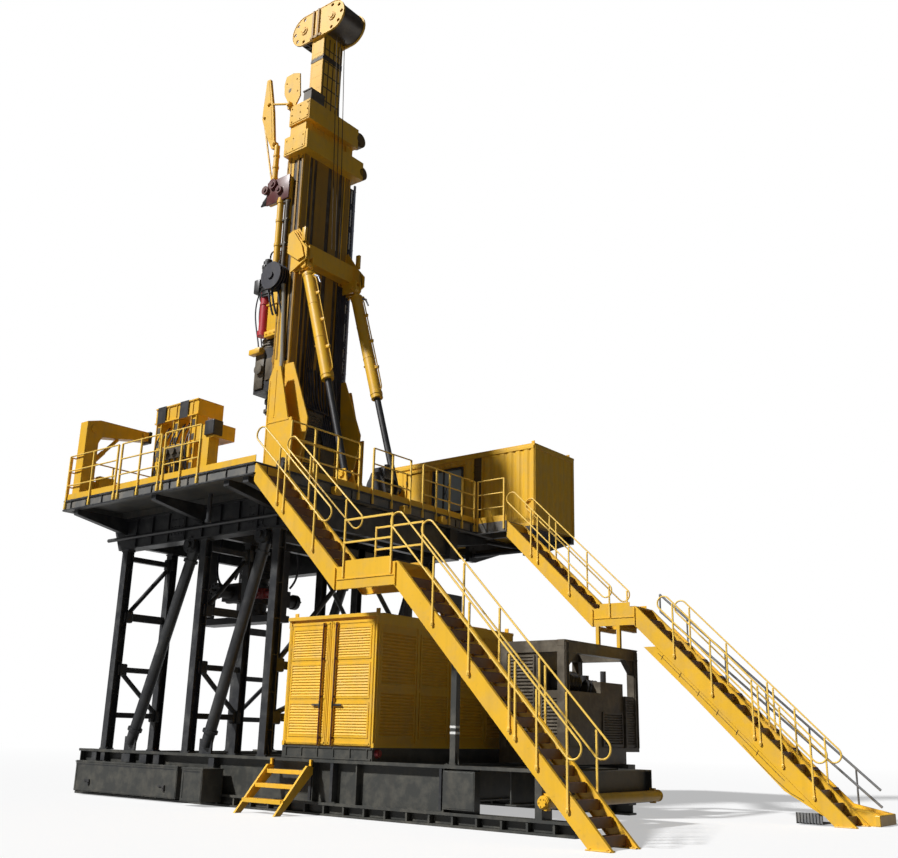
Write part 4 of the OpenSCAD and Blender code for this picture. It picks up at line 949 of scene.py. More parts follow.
class RIG_OT_rails(bpy.types.Operator):
    """Sockets that hold the posts of the floor's rails"""
    bl_idname = "rig.rails"
    bl_label = "Floor rails"

    def execute(self, context):
        x0, x1, y0, y1 = FLOOR_LO[0], 0.18, FLOOR_LO[1], FLOOR_HI[1]
        socks = []
        runs = [((x0 + 0.06, y0), (x0 + 2.0, y0), 3, (0, -1)),
                ((x0 + 2.15, y0), (x0 + 3.6, y0), 3, (0, -1)),
                ((x0 + 3.75, y0), (x0 + 4.95, y0), 3, (0, -1)),
                ((x0, y0 + 0.06), (x0, y1 - 0.06), 8, (-1, 0)),
                ((x1, -3.2), (x1, -1.11), 4, (1, 0)), ((x1, -0.65), (x1, 0.65), 3, (1, 0)),
                ((x1, 1.11), (x1, 3.16), 5, (1, 0))]
        for p, q, n, out in runs:
            for k in range(n):
                f = k / (n - 1)
                x, y = p[0] + (q[0] - p[0]) * f, p[1] + (q[1] - p[1]) * f
                cx, cy = x + out[0] * 0.019, y + out[1] * 0.019
                socks.append(block((cx - 0.028, cy - 0.028, DECK - 0.21),
                                   (cx + 0.028, cy + 0.028, DECK - 0.06), 0.005))
        done(socks, "rail_sockets", "rail", soft=True)
        return {"FINISHED"}


class RIG_OT_cabin(bpy.types.Operator):
    """Corrugated sheets, edges, recess, window frame, door, vents, roof and truss of the cabin"""
    bl_idname = "rig.cabin"
    bl_label = "Cabin"

    def execute(self, context):
        x0, y0, z0 = CABIN_LO
        x1, y1, z1 = CABIN_HI
        wx0, wx1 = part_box("cabin_window")[0][0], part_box("cabin_window")[1][0]
        wz0, wz1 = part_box("cabin_window")[0][2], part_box("cabin_window")[1][2]
        dx0, dx1, dz1 = x0 + 0.9, x0 + 1.7, DECK + 1.9
        front = at_y(y0, -1)
        ribs = []

        def corrugate(face, a0, a1, b0, b1, pitch=0.19):
            count = max(1, int((a1 - a0) / pitch))
            step = (a1 - a0) / count
            rib = outline([(0.0, 0.0), (step * 0.22, 0.022), (step * 0.58, 0.022),
                           (step * 0.8, 0.0)], (b0, b1), lambda a, t, b: face(a0 + a, b, t))
            ribs.append(row(rib, count, shift(face, step, 0)))

        corrugate(front, x0 + 0.08, dx0 - 0.06, z0 + 0.1, z1 - 0.1)
        corrugate(front, dx1 + 0.06, wx0 - 0.08, z0 + 0.1, z1 - 0.1)
        corrugate(front, wx0 - 0.06, wx1 + 0.06, z0 + 0.1, wz0 - 0.09)
        corrugate(front, wx0 - 0.06, wx1 + 0.06, wz1 + 0.09, z1 - 0.1)
        corrugate(front, wx1 + 0.1, -0.62, z0 + 0.1, z1 - 0.1)
        corrugate(front, -0.25, x1 - 0.1, z0 + 0.1, z1 - 0.1, 0.23)
        corrugate(at_y(y1, 1), x0 + 0.1, x1 - 0.1, z0 + 0.1, z1 - 0.1)
        corrugate(at_x(x0, -1), y0 + 0.1, y1 - 0.1, z0 + 0.1, z1 - 0.1)
        corrugate(at_x(x1, 1), y0 + 0.1, y0 + 1.75, z0 + 0.1, z1 - 0.1, 0.24)
        done(ribs, "cabin_ribs", "yellow")
        # corner posts and edge rails
        edge = []
        for x in (x0, x1 - 0.09):
            for y, s in ((y0, -1), (y1, 1)):
                edge.append(on_face(at_y(y, s), x, z0, x + 0.09, z1, -0.02, 0.028))
        for y, s in ((y0, -1), (y1, 1)):
            edge += [on_face(at_y(y, s), x0, z0 - 0.005, x1, z0 + 0.09, -0.02, 0.03),
                     on_face(at_y(y, s), x0, z1 - 0.09, x1, z1, -0.02, 0.035)]
        for x, s in ((x0, -1), (x1, 1)):
            edge += [on_face(at_x(x, s), y0, z0 - 0.005, y1, z0 + 0.09, -0.02, 0.02),
                     on_face(at_x(x, s), y0, z1 - 0.09, y1, z1, -0.02, 0.03),
                     on_face(at_x(x, s), y0, z0, y0 + 0.09, z1, -0.02, 0.028),
                     on_face(at_x(x, s), y1 - 0.09, z0, y1, z1, -0.02, 0.028)]
        edge = bevelled(joined(edge), 0.008)
        done(edge, "cabin_edges", "yellow")
        # tall recess with a ladder of clips, its back and clips painted in shadow brown as painted
        # shade
        recess = [on_face(front, -0.6, z0 + 0.1, -0.57, z1 - 0.1, 0, 0.04),
                  on_face(front, -0.3, z0 + 0.1, -0.27, z1 - 0.1, 0, 0.04)]
        done(recess, "cabin_recess_edges", "yellow")
        # painted shade: a shadow-brown plate and clips inside the recess
        dark = [on_face(front, -0.57, z0 + 0.1, -0.3, z1 - 0.1, 0, 0.006)]
        for z in grid(z0 + 0.3, z1 - 0.3, 9):
            dark.append(on_face(front, -0.57, z, -0.3, z + 0.02, 0.006, 0.022))
        done(dark, "cabin_recess", "shadow_brown", slot="frame_paint")
        # window frame, mullions and wiper
        frame_bars = []
        for a0, b0, a1, b1 in ((wx0 - 0.06, wz0 - 0.06, wx1 + 0.06, wz0),
                               (wx0 - 0.06, wz1, wx1 + 0.06, wz1 + 0.06),
                               (wx0 - 0.06, wz0, wx0, wz1), (wx1, wz0, wx1 + 0.06, wz1)):
            frame_bars.append(on_face(front, a0, b0, a1, b1, -0.03, 0.03))
        frame_bars.append(on_face(front, wx0 + 0.3, wz0, wx0 + 0.34, wz1, -0.04, 0.008))
        frame_bars = bevelled(joined(frame_bars), 0.006)
        wiper = [tube(front(wx0 + 0.62, wz0 + 0.02, 0.015), front(wx0 + 0.42, wz0 + 0.55, 0.02),
                      0.008, 8),
                 tube(front(wx0 + 0.3, wz0 + 0.35, 0.018), front(wx0 + 0.52, wz0 + 0.8, 0.018),
                      0.01, 8),
                 bevelled(on_face(front, wx0 + 0.56, wz0 - 0.05, wx0 + 0.68, wz0 + 0.03, 0, 0.04),
                          0.008)]
        done([frame_bars] + wiper, "window_frame", "machine")
        hood = outline([(0, 0), (0.16, -0.05), (0.16, -0.035), (0, 0.03)],
                       (wx0 - 0.12, wx1 + 0.12), lambda t, b, a: front(a, wz1 + 0.1 + b, t))
        done([hood], "window_hood", "yellow")
        # door leaf closed in its opening, with frame, handle and hinges
        door = [block((dx0 + 0.012, y0 + 0.012, z0 + 0.075),
                      (dx1 - 0.012, y0 + 0.05, dz1 - 0.012), 0.008)]
        for a0, b0, a1, b1 in ((0.1, 0.2, 0.7, 0.8), (0.1, 0.92, 0.7, 1.72)):
            door.append(block((dx0 + a0, y0 + 0.004, z0 + b0),
                              (dx0 + a1, y0 + 0.014, z0 + b1), 0.006))
        for a0, b0, a1, b1 in ((dx0 - 0.05, z0 + 0.06, dx0, dz1),
                               (dx1, z0 + 0.06, dx1 + 0.05, dz1),
                               (dx0 - 0.05, dz1, dx1 + 0.05, dz1 + 0.05)):
            door.append(on_face(front, a0, b0, a1, b1, -0.02, 0.03))
        done(door, "cabin_door", "yellow")
        knobs = [axle(dx1 - 0.09, z0 + 1.0, y0 + 0.014, y0 - 0.05, 0.012, 10),
                 spar(y0 - 0.045, z0 + 1.0, dx1 - 0.09, dx1 - 0.21, 0.011, 10)]
        for z in (0.35, 1.0, 1.6):
            knobs.append(post(dx0 + 0.005, y0 - 0.02, z0 + z, z0 + z + 0.1, 0.016, 10))
        done(knobs, "cabin_door_fittings", "machine", soft=True)
        # cables beside the recess
        cables = [hose([front(-0.95, z1 - 0.3, 0.03), front(-0.95, 7.9, 0.05),
                        front(-0.9, 7.4, 0.06), front(-0.85, 7.0, 0.05), front(-0.8, 6.75, 0.04)],
                       0.012, 8)]
        done(cables, "cabin_cables", "machine", soft=True)
        # vents and lifting lugs
        vents = [slats(at_x(x0, -1), y0 + 0.6, y0 + 1.2, z0 + 0.9, z0 + 1.5, 10, 0.03),
                 slats(at_y(y1, 1), x0 + 0.6, x0 + 1.3, z0 + 1.2, z0 + 1.7, 8, 0.03)]
        done(vents, "cabin_vents", "yellow")
        lugs = []
        for x in (x0 + 0.1, x1 - 0.1):
            for y in (y0 + 0.1, y1 - 0.1):
                lugs += [block((x - 0.05, y - 0.012, z1 + 0.05), (x + 0.05, y + 0.012, z1 + 0.15),
                               0.01), axle(x, z1 + 0.11, y - 0.02, y + 0.02, 0.022, 12)]
        top_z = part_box("cabin_roof")[1][2]
        lugs.append(block((x0 + 1.4, y0 + 0.5, top_z - 0.01),
                          (x0 + 2.5, y0 + 1.3, top_z + 0.16), 0.03))
        roof_rib = cube((x0 + 0.2, y0 + 0.05, top_z - 0.005),
                        (x0 + 0.26, y1 - 0.05, top_z + 0.012))
        lugs.append(row(roof_rib, 12, (0.43, 0, 0)))
        done(lugs, "cabin_roof_fittings", "yellow")
        # truss under the cabin
        truss = []
        for x in (-3.06, -0.65, 1.17):
            for s, xx in ((-1, x - 0.1), (1, x + 0.1)):
                truss.append(outline([(4.1, 5.95), (4.35, 5.95), (5.98, 6.4), (5.98, 6.48),
                                      (4.3, 6.1), (4.1, 6.1)], (xx - 0.01, xx + 0.01), in_yz))
            truss.append(bolts([(x + s * 0.062, 4.2, z) for z in (6.0, 6.2, 6.4) for s in SIDES],
                               (0, -1, 0), 0.02, 0.02))
        for xa, xb in ((-3.0, -0.7), (-0.6, 1.1)):
            truss += [tube((xa, 4.25, 6.05), (xb, 5.9, 6.42), 0.045, 12),
                      tube((xb, 4.25, 6.05), (xa, 5.9, 6.42), 0.045, 12),
                      tube((xa, 4.2, 6.42), (xb, 4.2, 6.02), 0.05, 12)]
        truss.append(spar(4.22, 6.0, -3.1, 1.2, 0.055, 12))
        done(truss, "cabin_truss", "black", soft=True)
        return {"FINISHED"}


class RIG_OT_power_pack(bpy.types.Operator):
    """Grilles, lock bars, roof fittings, exhaust, base ribs and service panel of the power pack"""
    bl_idname = "rig.power_pack"
    bl_label = "Power pack"

    def execute(self, context):
        x0, x1 = PACK_LO[0] + 0.02, PACK_HI[0] - 0.02
        y0, y1 = PACK_LO[1] + 0.02, PACK_HI[1] - 0.02
        z0, z1 = PACK_LO[2], PACK_HI[2]
        # grilles on the two doors
        for body, lo, hi in (("door_left",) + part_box("power_pack_door_left"),
                             ("door_right",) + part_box("power_pack_door_right")):
            face = at_y(y0, -1)
            a0, a1 = lo[0] + 0.02, hi[0] - 0.02
            left = body == "door_left"
            wide = (a0 + 0.1, a1 - 0.08) if left else (a0 + 0.08, a1 - 0.1)
            parts = []
            for b0, b1 in ((1.42, 1.98), (2.12, 2.7), (2.84, 3.38)):
                parts.append(slats(face, wide[0], wide[1], b0, b1, 11, 0.012))
            for a, b in ((a0 + 0.01, a0 + 0.035), (a1 - 0.035, a1 - 0.01)):
                parts.append(on_face(face, a, 1.27, b, 3.5, 0, 0.01))
            for b in (1.27, 3.475):
                parts.append(on_face(face, a0 + 0.01, b, a1 - 0.01, b + 0.025, 0, 0.01))
            done(parts, "pack_" + body + "_grilles", "yellow", body)
            x_rod = lo[0] + 0.02 + LOCK_BAR if left else hi[0] - 0.02 - LOCK_BAR
            out = -1 if left else 1
            ends = sorted((x_rod + out * 0.02, x_rod + out * 0.22))
            grip = [block((ends[0], y0 - 0.058, 1.95), (ends[1], y0 - 0.03, 1.985), 0.008),
                    post(x_rod, y0 - 0.06, 1.91, 2.03, 0.018, 12)]
            done(grip, "pack_" + body + "_handle", "machine", body, soft=True)
            bar = [post(x_rod, y0 - 0.058, 1.24, 3.5, 0.014, 12)]
            for z in (1.35, 2.1, 2.8, 3.42):
                bar.append(block((x_rod - 0.025, y0 - 0.05, z),
                                 (x_rod + 0.025, y0 - 0.002, z + 0.04), 0.006))
            done(bar, "pack_" + body + "_lock_bar", "dark_red", body,
                 slot="black_machine", soft=True)
        # side, back and far side grilles
        parts = []
        east = at_x(x1, 1)
        for a0, a1, b0, b1 in ((y0 + 0.14, y0 + 1.1, 1.42, 2.2), (y0 + 0.14, y0 + 1.1, 2.36, 3.3),
                               (y0 + 1.3, y0 + 2.1, 1.42, 2.2), (y0 + 1.3, y0 + 2.1, 2.36, 3.3),
                               (y0 + 2.4, y0 + 3.3, 1.42, 2.2), (y0 + 2.4, y0 + 3.3, 2.36, 3.3),
                               (y0 + 3.45, y0 + 4.2, 1.42, 3.2)):
            parts.append(slats(east, a0, a1, b0, b1, int((b1 - b0) / 0.06), 0.03))
        for a in (y0 + 0.04, y0 + 1.17, y0 + 2.2, y0 + 3.35, y1 - 0.1):
            parts.append(on_face(east, a, z0 + 0.02, a + 0.07, z1 - 0.08, 0, 0.022))
        parts += [on_face(east, y0, z0, y1, z0 + 0.08, 0, 0.025),
                  on_face(east, y0, z1 - 0.2, y1, z1 - 0.06, 0, 0.02)]
        west = at_x(x0, -1)
        for a0, a1 in ((y0 + 0.3, y0 + 1.3), (y0 + 1.6, y0 + 2.7), (y0 + 3.0, y0 + 4.1)):
            parts.append(slats(west, a0, a1, 1.5, 2.9, 20, 0.03))
        back = at_y(y1, 1)
        parts += [slats(back, x0 + 0.3, x0 + 1.05, 1.5, 3.2, 24, 0.03),
                  slats(back, x0 + 1.3, x0 + 2.05, 1.5, 3.2, 24, 0.03)]
        for face, a, b in ((west, y0, y1), (back, x0, x1)):
            parts += [on_face(face, a, z0, b, z0 + 0.08, 0, 0.02),
                      on_face(face, a, z1 - 0.2, b, z1 - 0.06, 0, 0.02)]
        done(parts, "pack_side_grilles", "yellow")
        # roof lip, hatches, exhaust stacks and lugs
        roof = [block((PACK_LO[0] - 0.005, PACK_LO[1] - 0.01, z1 - 0.06),
                      (PACK_HI[0] + 0.005, PACK_LO[1] + 0.03, z1 + 0.01), 0.006),
                block((x0 + 0.2, y0 + 0.4, z1), (x1 - 0.2, y0 + 1.6, z1 + 0.05), 0.015),
                block((x0 + 0.3, y0 + 2.0, z1), (x1 - 0.3, y0 + 3.9, z1 + 0.07), 0.015)]
        for x in (x0 + 0.08, x1 - 0.08):
            for y in (y0 + 0.1, y1 - 0.1):
                roof.append(block((x - 0.05, y - 0.012, z1),
                                  (x + 0.05, y + 0.012, z1 + 0.1), 0.01))
        done(roof, "pack_roof_fittings", "yellow")
        stacks = [post(x0 + 0.6, y0 + 2.9, z1 + 0.06, z1 + 0.5, 0.1, 24),
                  tube((x0 + 0.6, y0 + 2.9, z1 + 0.48), (x0 + 0.72, y0 + 2.9, z1 + 0.66), 0.085,
                       24), post(x0 + 0.6, y0 + 2.9, z1 + 0.06, z1 + 0.1, 0.16, 24)]
        done(stacks, "pack_exhaust", "machine", soft=True)
        # base rail with ribs, and the red fire bell
        base = [on_face(at_y(y0, -1), x0 + 0.02, 1.0, x1 - 0.02, 1.03, 0, 0.02),
                on_face(at_y(y0, -1), x0 + 0.02, 1.19, x1 - 0.02, 1.218, 0, 0.02),
                on_face(at_x(x1, 1), y0, 1.19, y1, 1.218, 0, 0.02)]
        for x in grid(x0 + 0.1, x1 - 0.14, 6):
            base.append(on_face(at_y(y0, -1), x, 1.03, x + 0.03, 1.19, 0, 0.018))
        done(base, "pack_base_ribs", "skid")
        bell = [spar(y0 + 0.14, 1.12, x1, x1 + 0.06, 0.085, 24, 0.06),
                spar(y0 + 0.14, 1.12, x1 + 0.06, x1 + 0.075, 0.03, 16)]
        done(bell, "pack_bell", "red", soft=True)
        # switch panel, gauges and hoses in the service room
        panel = [block((x0 + 0.4, y0 + 0.86, 1.7), (x1 - 0.4, y0 + 0.95, 3.1), 0.02),
                 block((x0 + 0.2, y0 + 0.55, z0 + 0.07), (x0 + 0.9, y0 + 0.9, 1.6), 0.03),
                 block((x1 - 0.9, y0 + 0.6, z0 + 0.07), (x1 - 0.3, y0 + 0.9, 1.55), 0.03)]
        for x in grid(x0 + 0.6, x1 - 0.6, 5):
            panel += [axle(x, 2.8, y0 + 0.86, y0 + 0.835, 0.06, 20),
                      axle(x, 2.5, y0 + 0.86, y0 + 0.83, 0.03, 16),
                      hose([(x, y0 + 0.85, 2.1), (x + 0.05, y0 + 0.7, 1.9),
                            (x - 0.05, y0 + 0.7, 1.7), (x, y0 + 0.75, 1.5)], 0.018, 8)]
        done(panel, "pack_service_panel", "machine", soft=True)
        return {"FINISHED"}


class RIG_OT_pump_unit(bpy.types.Operator):
    """Pump set in its open frame: louvres, motor fins, radiator, hoses"""
    bl_idname = "rig.pump_unit"
    bl_label = "Pump unit"

    def execute(self, context):
        x0, y0 = UNIT_LO[0], UNIT_LO[1]
        x1, y1, z1 = UNIT_HI
        z0 = UNIT_FLOOR
        east = at_x(x1, 1)
        # the unit's trim, louvres and tank are machine brown: painted shade on a yellow unit
        frame_bits = []
        for y in (y0, y1 - 0.17):
            frame_bits += [on_face(east, y + 0.02, z0 + 0.08, y + 0.045, z1 - 0.05, -0.01, 0.02),
                           on_face(east, y + 0.125, z0 + 0.08, y + 0.15, z1 - 0.05, -0.01, 0.02)]
        for y, s in ((y0 + 0.17, 1), (y1 - 0.17, -1)):
            frame_bits.append(outline([(0, 0), (s * 0.34, 0), (0, -0.3)], (x1 - 0.15, x1 - 0.02),
                                      lambda a, b, t, y=y: (t, y + a, z1 - 0.22 + b)))
        for x in (x0, x1 - 0.17):
            for y in (y0, y1 - 0.17):
                frame_bits.append(block((x - 0.004, y - 0.004, z1 - 0.12),
                                        (x + 0.174, y + 0.174, z1 + 0.008), 0.01))
        frame_bits += [on_face(east, y0, z1 - 0.23, y1, z1 - 0.2, -0.01, 0.015),
                       on_face(east, y0, z1 - 0.02, y1, z1 + 0.004, -0.01, 0.015)]
        done(frame_bits, "pump_frame_trim", "brown")
        fins = [slats(at_x(x1 - 0.02, 1), y1 - 0.52, y1 - 0.12, z0 + 0.14, z0 + 1.06, 18, 0.02),
                slats(at_x(x1 - 0.06, 1), y1 - 1.42, y1 - 0.66, z0 + 0.14, z0 + 0.75, 12, 0.03),
                slats(at_y(y0 + 0.04, -1), x0 + 0.18, x0 + 0.8, z0 + 0.3, z0 + 1.8, 22, 0.03),
                slats(at_y(y0 + 0.06, -1), x0 + 1.0, x1 - 0.2, z0 + 0.2, z0 + 1.0, 12, 0.03)]
        done(fins, "pump_louvres", "brown")
        kit = [axle(x1 - 0.5, z0 + 1.35, y0 + 0.5, y0 + 1.15, 0.2, 28),
               axle(x1 - 0.5, z0 + 1.35, y0 + 0.44, y0 + 0.5, 0.14, 28),
               block((x1 - 0.4, y1 - 1.3, z0 + 0.85), (x1 - 0.08, y1 - 0.75, z0 + 1.3), 0.03),
               post(x1 - 0.25, y1 - 1.05, z0 + 1.36, z0 + 1.62, 0.06, 18),
               post(x1 - 0.8, y1 - 0.9, z0 + 1.36, z0 + 1.55, 0.1, 20)]
        for k in range(4):
            y = y0 + 1.3 + 0.12 * k
            kit.append(hose([(x1 - 0.3, y, z0 + 1.1), (x1 - 0.2, y, z0 + 1.3),
                             (x1 - 0.3, y + 0.1, z0 + 1.45), (x1 - 0.5, y + 0.2, z0 + 1.4),
                             (x1 - 0.6, y + 0.2, z0 + 1.1)], 0.022, 8))
        fin = axle(x1 - 0.5, z0 + 1.35, y0 + 0.56, y0 + 0.575, 0.225, 28)
        kit.append(row(fin, 10, (0, 0.055, 0)))
        done(kit, "pump_machinery", "machine", soft=True)
        tank = [block((x0 + 0.15, y0 + 1.05, z0 + 1.14), (x0 + 0.8, y0 + 1.6, z0 + 1.5), 0.06)]
        done(tank, "pump_tank", "brown", soft=True)
        return {"FINISHED"}


class RIG_OT_preventer(bpy.types.Operator):
    """Flanges, bolts, ram bonnets, wheels and hoses of the blowout preventer"""
    bl_idname = "rig.preventer"
    bl_label = "Blowout preventer"

    def execute(self, context):
        wx = WELL_X
        z1 = DECK - 0.04
        red, nuts, hoses = [], [], []
        for z in (z1 - 1.12, z1 - 1.5, z1 - 1.72, z1 - 2.08, z1 - 2.38):
            r = 0.46 if z > z1 - 1.6 else 0.36
            red.append(post(wx, 0, z, z + 0.07, r, 40))
            studs = around(in_xy, wx, 0, r - 0.05, z + 0.07, 0, 2 * pi * 13 / 14, 14)
            nuts.append(bolts(studs, (0, 0, 1), 0.026, 0.05))
        for k in range(5):
            red.append(post(wx, 0, z1 - 1.42 + k * 0.07, z1 - 1.4 + k * 0.07, 0.42, 40))
        for s in SIDES:
            red += [block((wx - 0.24, s * 0.72 - 0.07, z1 - 2.14),
                          (wx + 0.24, s * 0.72 + 0.07, z1 - 1.66), 0.03),
                    axle(wx, z1 - 1.9, s * 1.2, s * 1.32, 0.19, 28)]
            nuts += [bolts([(wx + 0.17 * cos(a), s * 1.32, z1 - 1.9 + 0.14 * sin(a))
                            for a in grid(0, 5.3, 8)], (0, s, 0), 0.02, 0.03),
                     bolts([(wx + dx, s * 0.79, z1 - 1.9 + dz) for dx in (-0.19, 0.19)
                            for dz in (-0.18, 0, 0.18)], (0, s, 0), 0.022, 0.03),
                     axle(wx, z1 - 1.9, s * 1.32, s * 1.45, 0.03, 12)]
            hoses += [hose([(wx + 0.2, s * 0.9, z1 - 1.6), (wx + 0.4, s * 0.95, z1 - 1.4),
                            (wx + 0.5, s * 0.9, z1 - 1.0), (wx + 0.45, s * 0.8, z1 - 0.5),
                            (wx + 0.4, s * 0.7, z1 - 0.1)], 0.028, 10),
                      hose([(wx - 0.15, s * 1.0, z1 - 1.75), (wx - 0.35, s * 1.05, z1 - 1.55),
                            (wx - 0.45, s * 0.95, z1 - 1.0), (wx - 0.5, s * 0.8, z1 - 0.4),
                            (wx - 0.5, s * 0.75, z1 - 0.1)], 0.028, 10)]
        done(red, "preventer_flanges", "machine", soft=True)
        done(nuts, "preventer_bolts", "machine")
        done(hoses, "preventer_hoses", "link", soft=True)
        valve = [spar(-0.35, z1 - 1.9, wx + 0.3, wx + 0.95, 0.07, 18),
                 axle(wx + 0.6, z1 - 1.9, -0.35, -0.55, 0.035, 12),
                 block((wx + 0.48, -0.45, z1 - 2.02), (wx + 0.72, -0.25, z1 - 1.78), 0.02)]
        bpy.ops.object.select_all(action="DESELECT")
        bpy.ops.mesh.primitive_torus_add(location=(wx + 0.6, -0.56, z1 - 1.9),
                                         rotation=(pi / 2, 0, 0), major_radius=0.13,
                                         minor_radius=0.014, major_segments=28, minor_segments=8)
        valve += [settle(bpy.context.object), spar(-0.56, z1 - 1.9, wx + 0.47, wx + 0.73, 0.01, 8)]
        done(valve, "preventer_valve", "red", soft=True)
        return {"FINISHED"}


class RIG_OT_roughneck(bpy.types.Operator):
    """Frame strips, parts, hoses and end plates of the floor machine, and its arm"""
    bl_idname = "rig.roughneck"
    bl_label = "Floor machine"

    def execute(self, context):
        x0, y0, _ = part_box("roughneck")[0]
        panels, dark, hoses = [], [], []
        front = at_y(y0 + 0.06, -1)
        for x in (x0 + 0.04, x0 + 0.72, x0 + 1.4):
            panels += [on_face(front, x + 0.015, DECK + 0.2, x + 0.04, DECK + 2.13, 0, 0.03),
                       on_face(front, x + 0.2, DECK + 0.2, x + 0.225, DECK + 2.13, 0, 0.03)]
            for z in grid(DECK + 0.45, DECK + 1.9, 5):
                dark.append(on_face(front, x + 0.05, z, x + 0.19, z + 0.16, 0, 0.006))
        beam = at_y(y0 + 0.04, -1)
        panels += [on_face(beam, x0, DECK + 2.15, x0 + 1.66, DECK + 2.18, 0, 0.03),
                   on_face(beam, x0, DECK + 2.53, x0 + 1.66, DECK + 2.56, 0, 0.03)]
        for x in grid(x0 + 0.2, x0 + 1.45, 5):
            panels.append(on_face(beam, x, DECK + 2.18, x + 0.02, DECK + 2.53, 0, 0.025))
        done(panels, "floor_machine_frame", "yellow")
        mid = at_y(y0, -1)
        dark.append(bevelled(on_face(mid, x0 + 0.34, DECK + 1.13, x0 + 1.36, DECK + 1.47, 0, 0.05),
                             0.02))
        for x in grid(x0 + 0.45, x0 + 1.25, 4):
            dark += [tube(mid(x, DECK + 1.3, 0.05), mid(x, DECK + 1.3, 0.12), 0.09, 24),
                     tube(mid(x, DECK + 0.62, -0.3), mid(x, DECK + 1.1, -0.02), 0.05, 16)]
        for x, z in ((x0 + 0.2, 0.5), (x0 + 0.55, 0.35), (x0 + 1.1, 0.45), (x0 + 1.3, 0.7)):
            dark.append(block((x, y0 + 0.1, DECK + 0.16),
                              (x + 0.22, y0 + 0.35, DECK + 0.16 + z), 0.02))
        for x in (x0 + 0.5, x0 + 1.2):
            dark += [post(x, y0 + 0.5, DECK + 0.9, DECK + 1.95, 0.08, 20),
                     post(x, y0 + 0.5, DECK + 1.7, DECK + 2.05, 0.045, 16)]
        done(dark, "floor_machine_parts", "brown", soft=True)
        for k in range(7):
            x = x0 + 0.2 + k * 0.2
            hoses.append(hose([(x, y0 + 0.2, DECK + 2.05), (x + 0.03, y0 - 0.02, DECK + 1.75),
                               (x - 0.06, y0 - 0.05, DECK + 1.35), (x + 0.05, y0, DECK + 0.9),
                               (x, y0 + 0.12, DECK + 0.5), (x, y0 + 0.2, DECK + 0.2)], 0.018, 8))
        done(hoses, "floor_machine_hoses", "link", soft=True)
        end = [block((x0 + 2.0, y0, DECK + 1.55), (x0 + 2.34, y0 + 0.3, DECK + 1.92), 0.03)]
        for x in (x0 + 0.1, x0 + 0.98):
            end.append(on_face(beam, x, DECK + 2.14, x + 0.32, DECK + 2.57, 0.028, 0.036))
        done(end, "floor_machine_end", "machine")
        # handling arm
        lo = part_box("roughneck_arm")[0]
        x0, y0 = lo[0] + 0.06, lo[1] + 0.01
        arm = []
        for x, s in ((x0, -1), (x0 + 0.29, 1)):
            face = at_x(x, s)
            arm += [on_face(face, y0 + 0.02, DECK + 0.1, y0 + 0.05, DECK + 1.8, 0, 0.012),
                    on_face(face, y0 + 0.3, DECK + 0.65, y0 + 0.33, DECK + 1.4, 0, 0.012),
                    tube(face(y0 + 0.2, DECK + 1.78, 0), face(y0 + 0.2, DECK + 1.78, 0.04), 0.1,
                         28),
                    bolts(around(face, y0 + 0.2, DECK + 1.78, 0.07, 0.04, 0, 5.2, 6), (s, 0, 0),
                          0.012, 0.01),
                    tube(face(y0 + 1.62, DECK + 1.94, -0.02),
                         face(y0 + 1.62, DECK + 1.94, 0.05), 0.07, 24)]
        arm += [tube((x0 + 0.15, y0 + 0.34, DECK + 1.0), (x0 + 0.15, y0 + 0.95, DECK + 1.7), 0.045,
                     18),
                tube((x0 + 0.15, y0 + 0.34, DECK + 1.0), (x0 + 0.15, y0 + 0.6, DECK + 1.3), 0.06,
                     18)]
        done(arm, "floor_arm_trim", "yellow", soft=True)
        jaw = [block((x0 - 0.02, y0 + 1.74, DECK + 1.78),
                     (x0 + 0.31, y0 + 1.84, DECK + 2.09), 0.02)]
        done(jaw, "floor_arm_jaw", "machine")
        return {"FINISHED"}


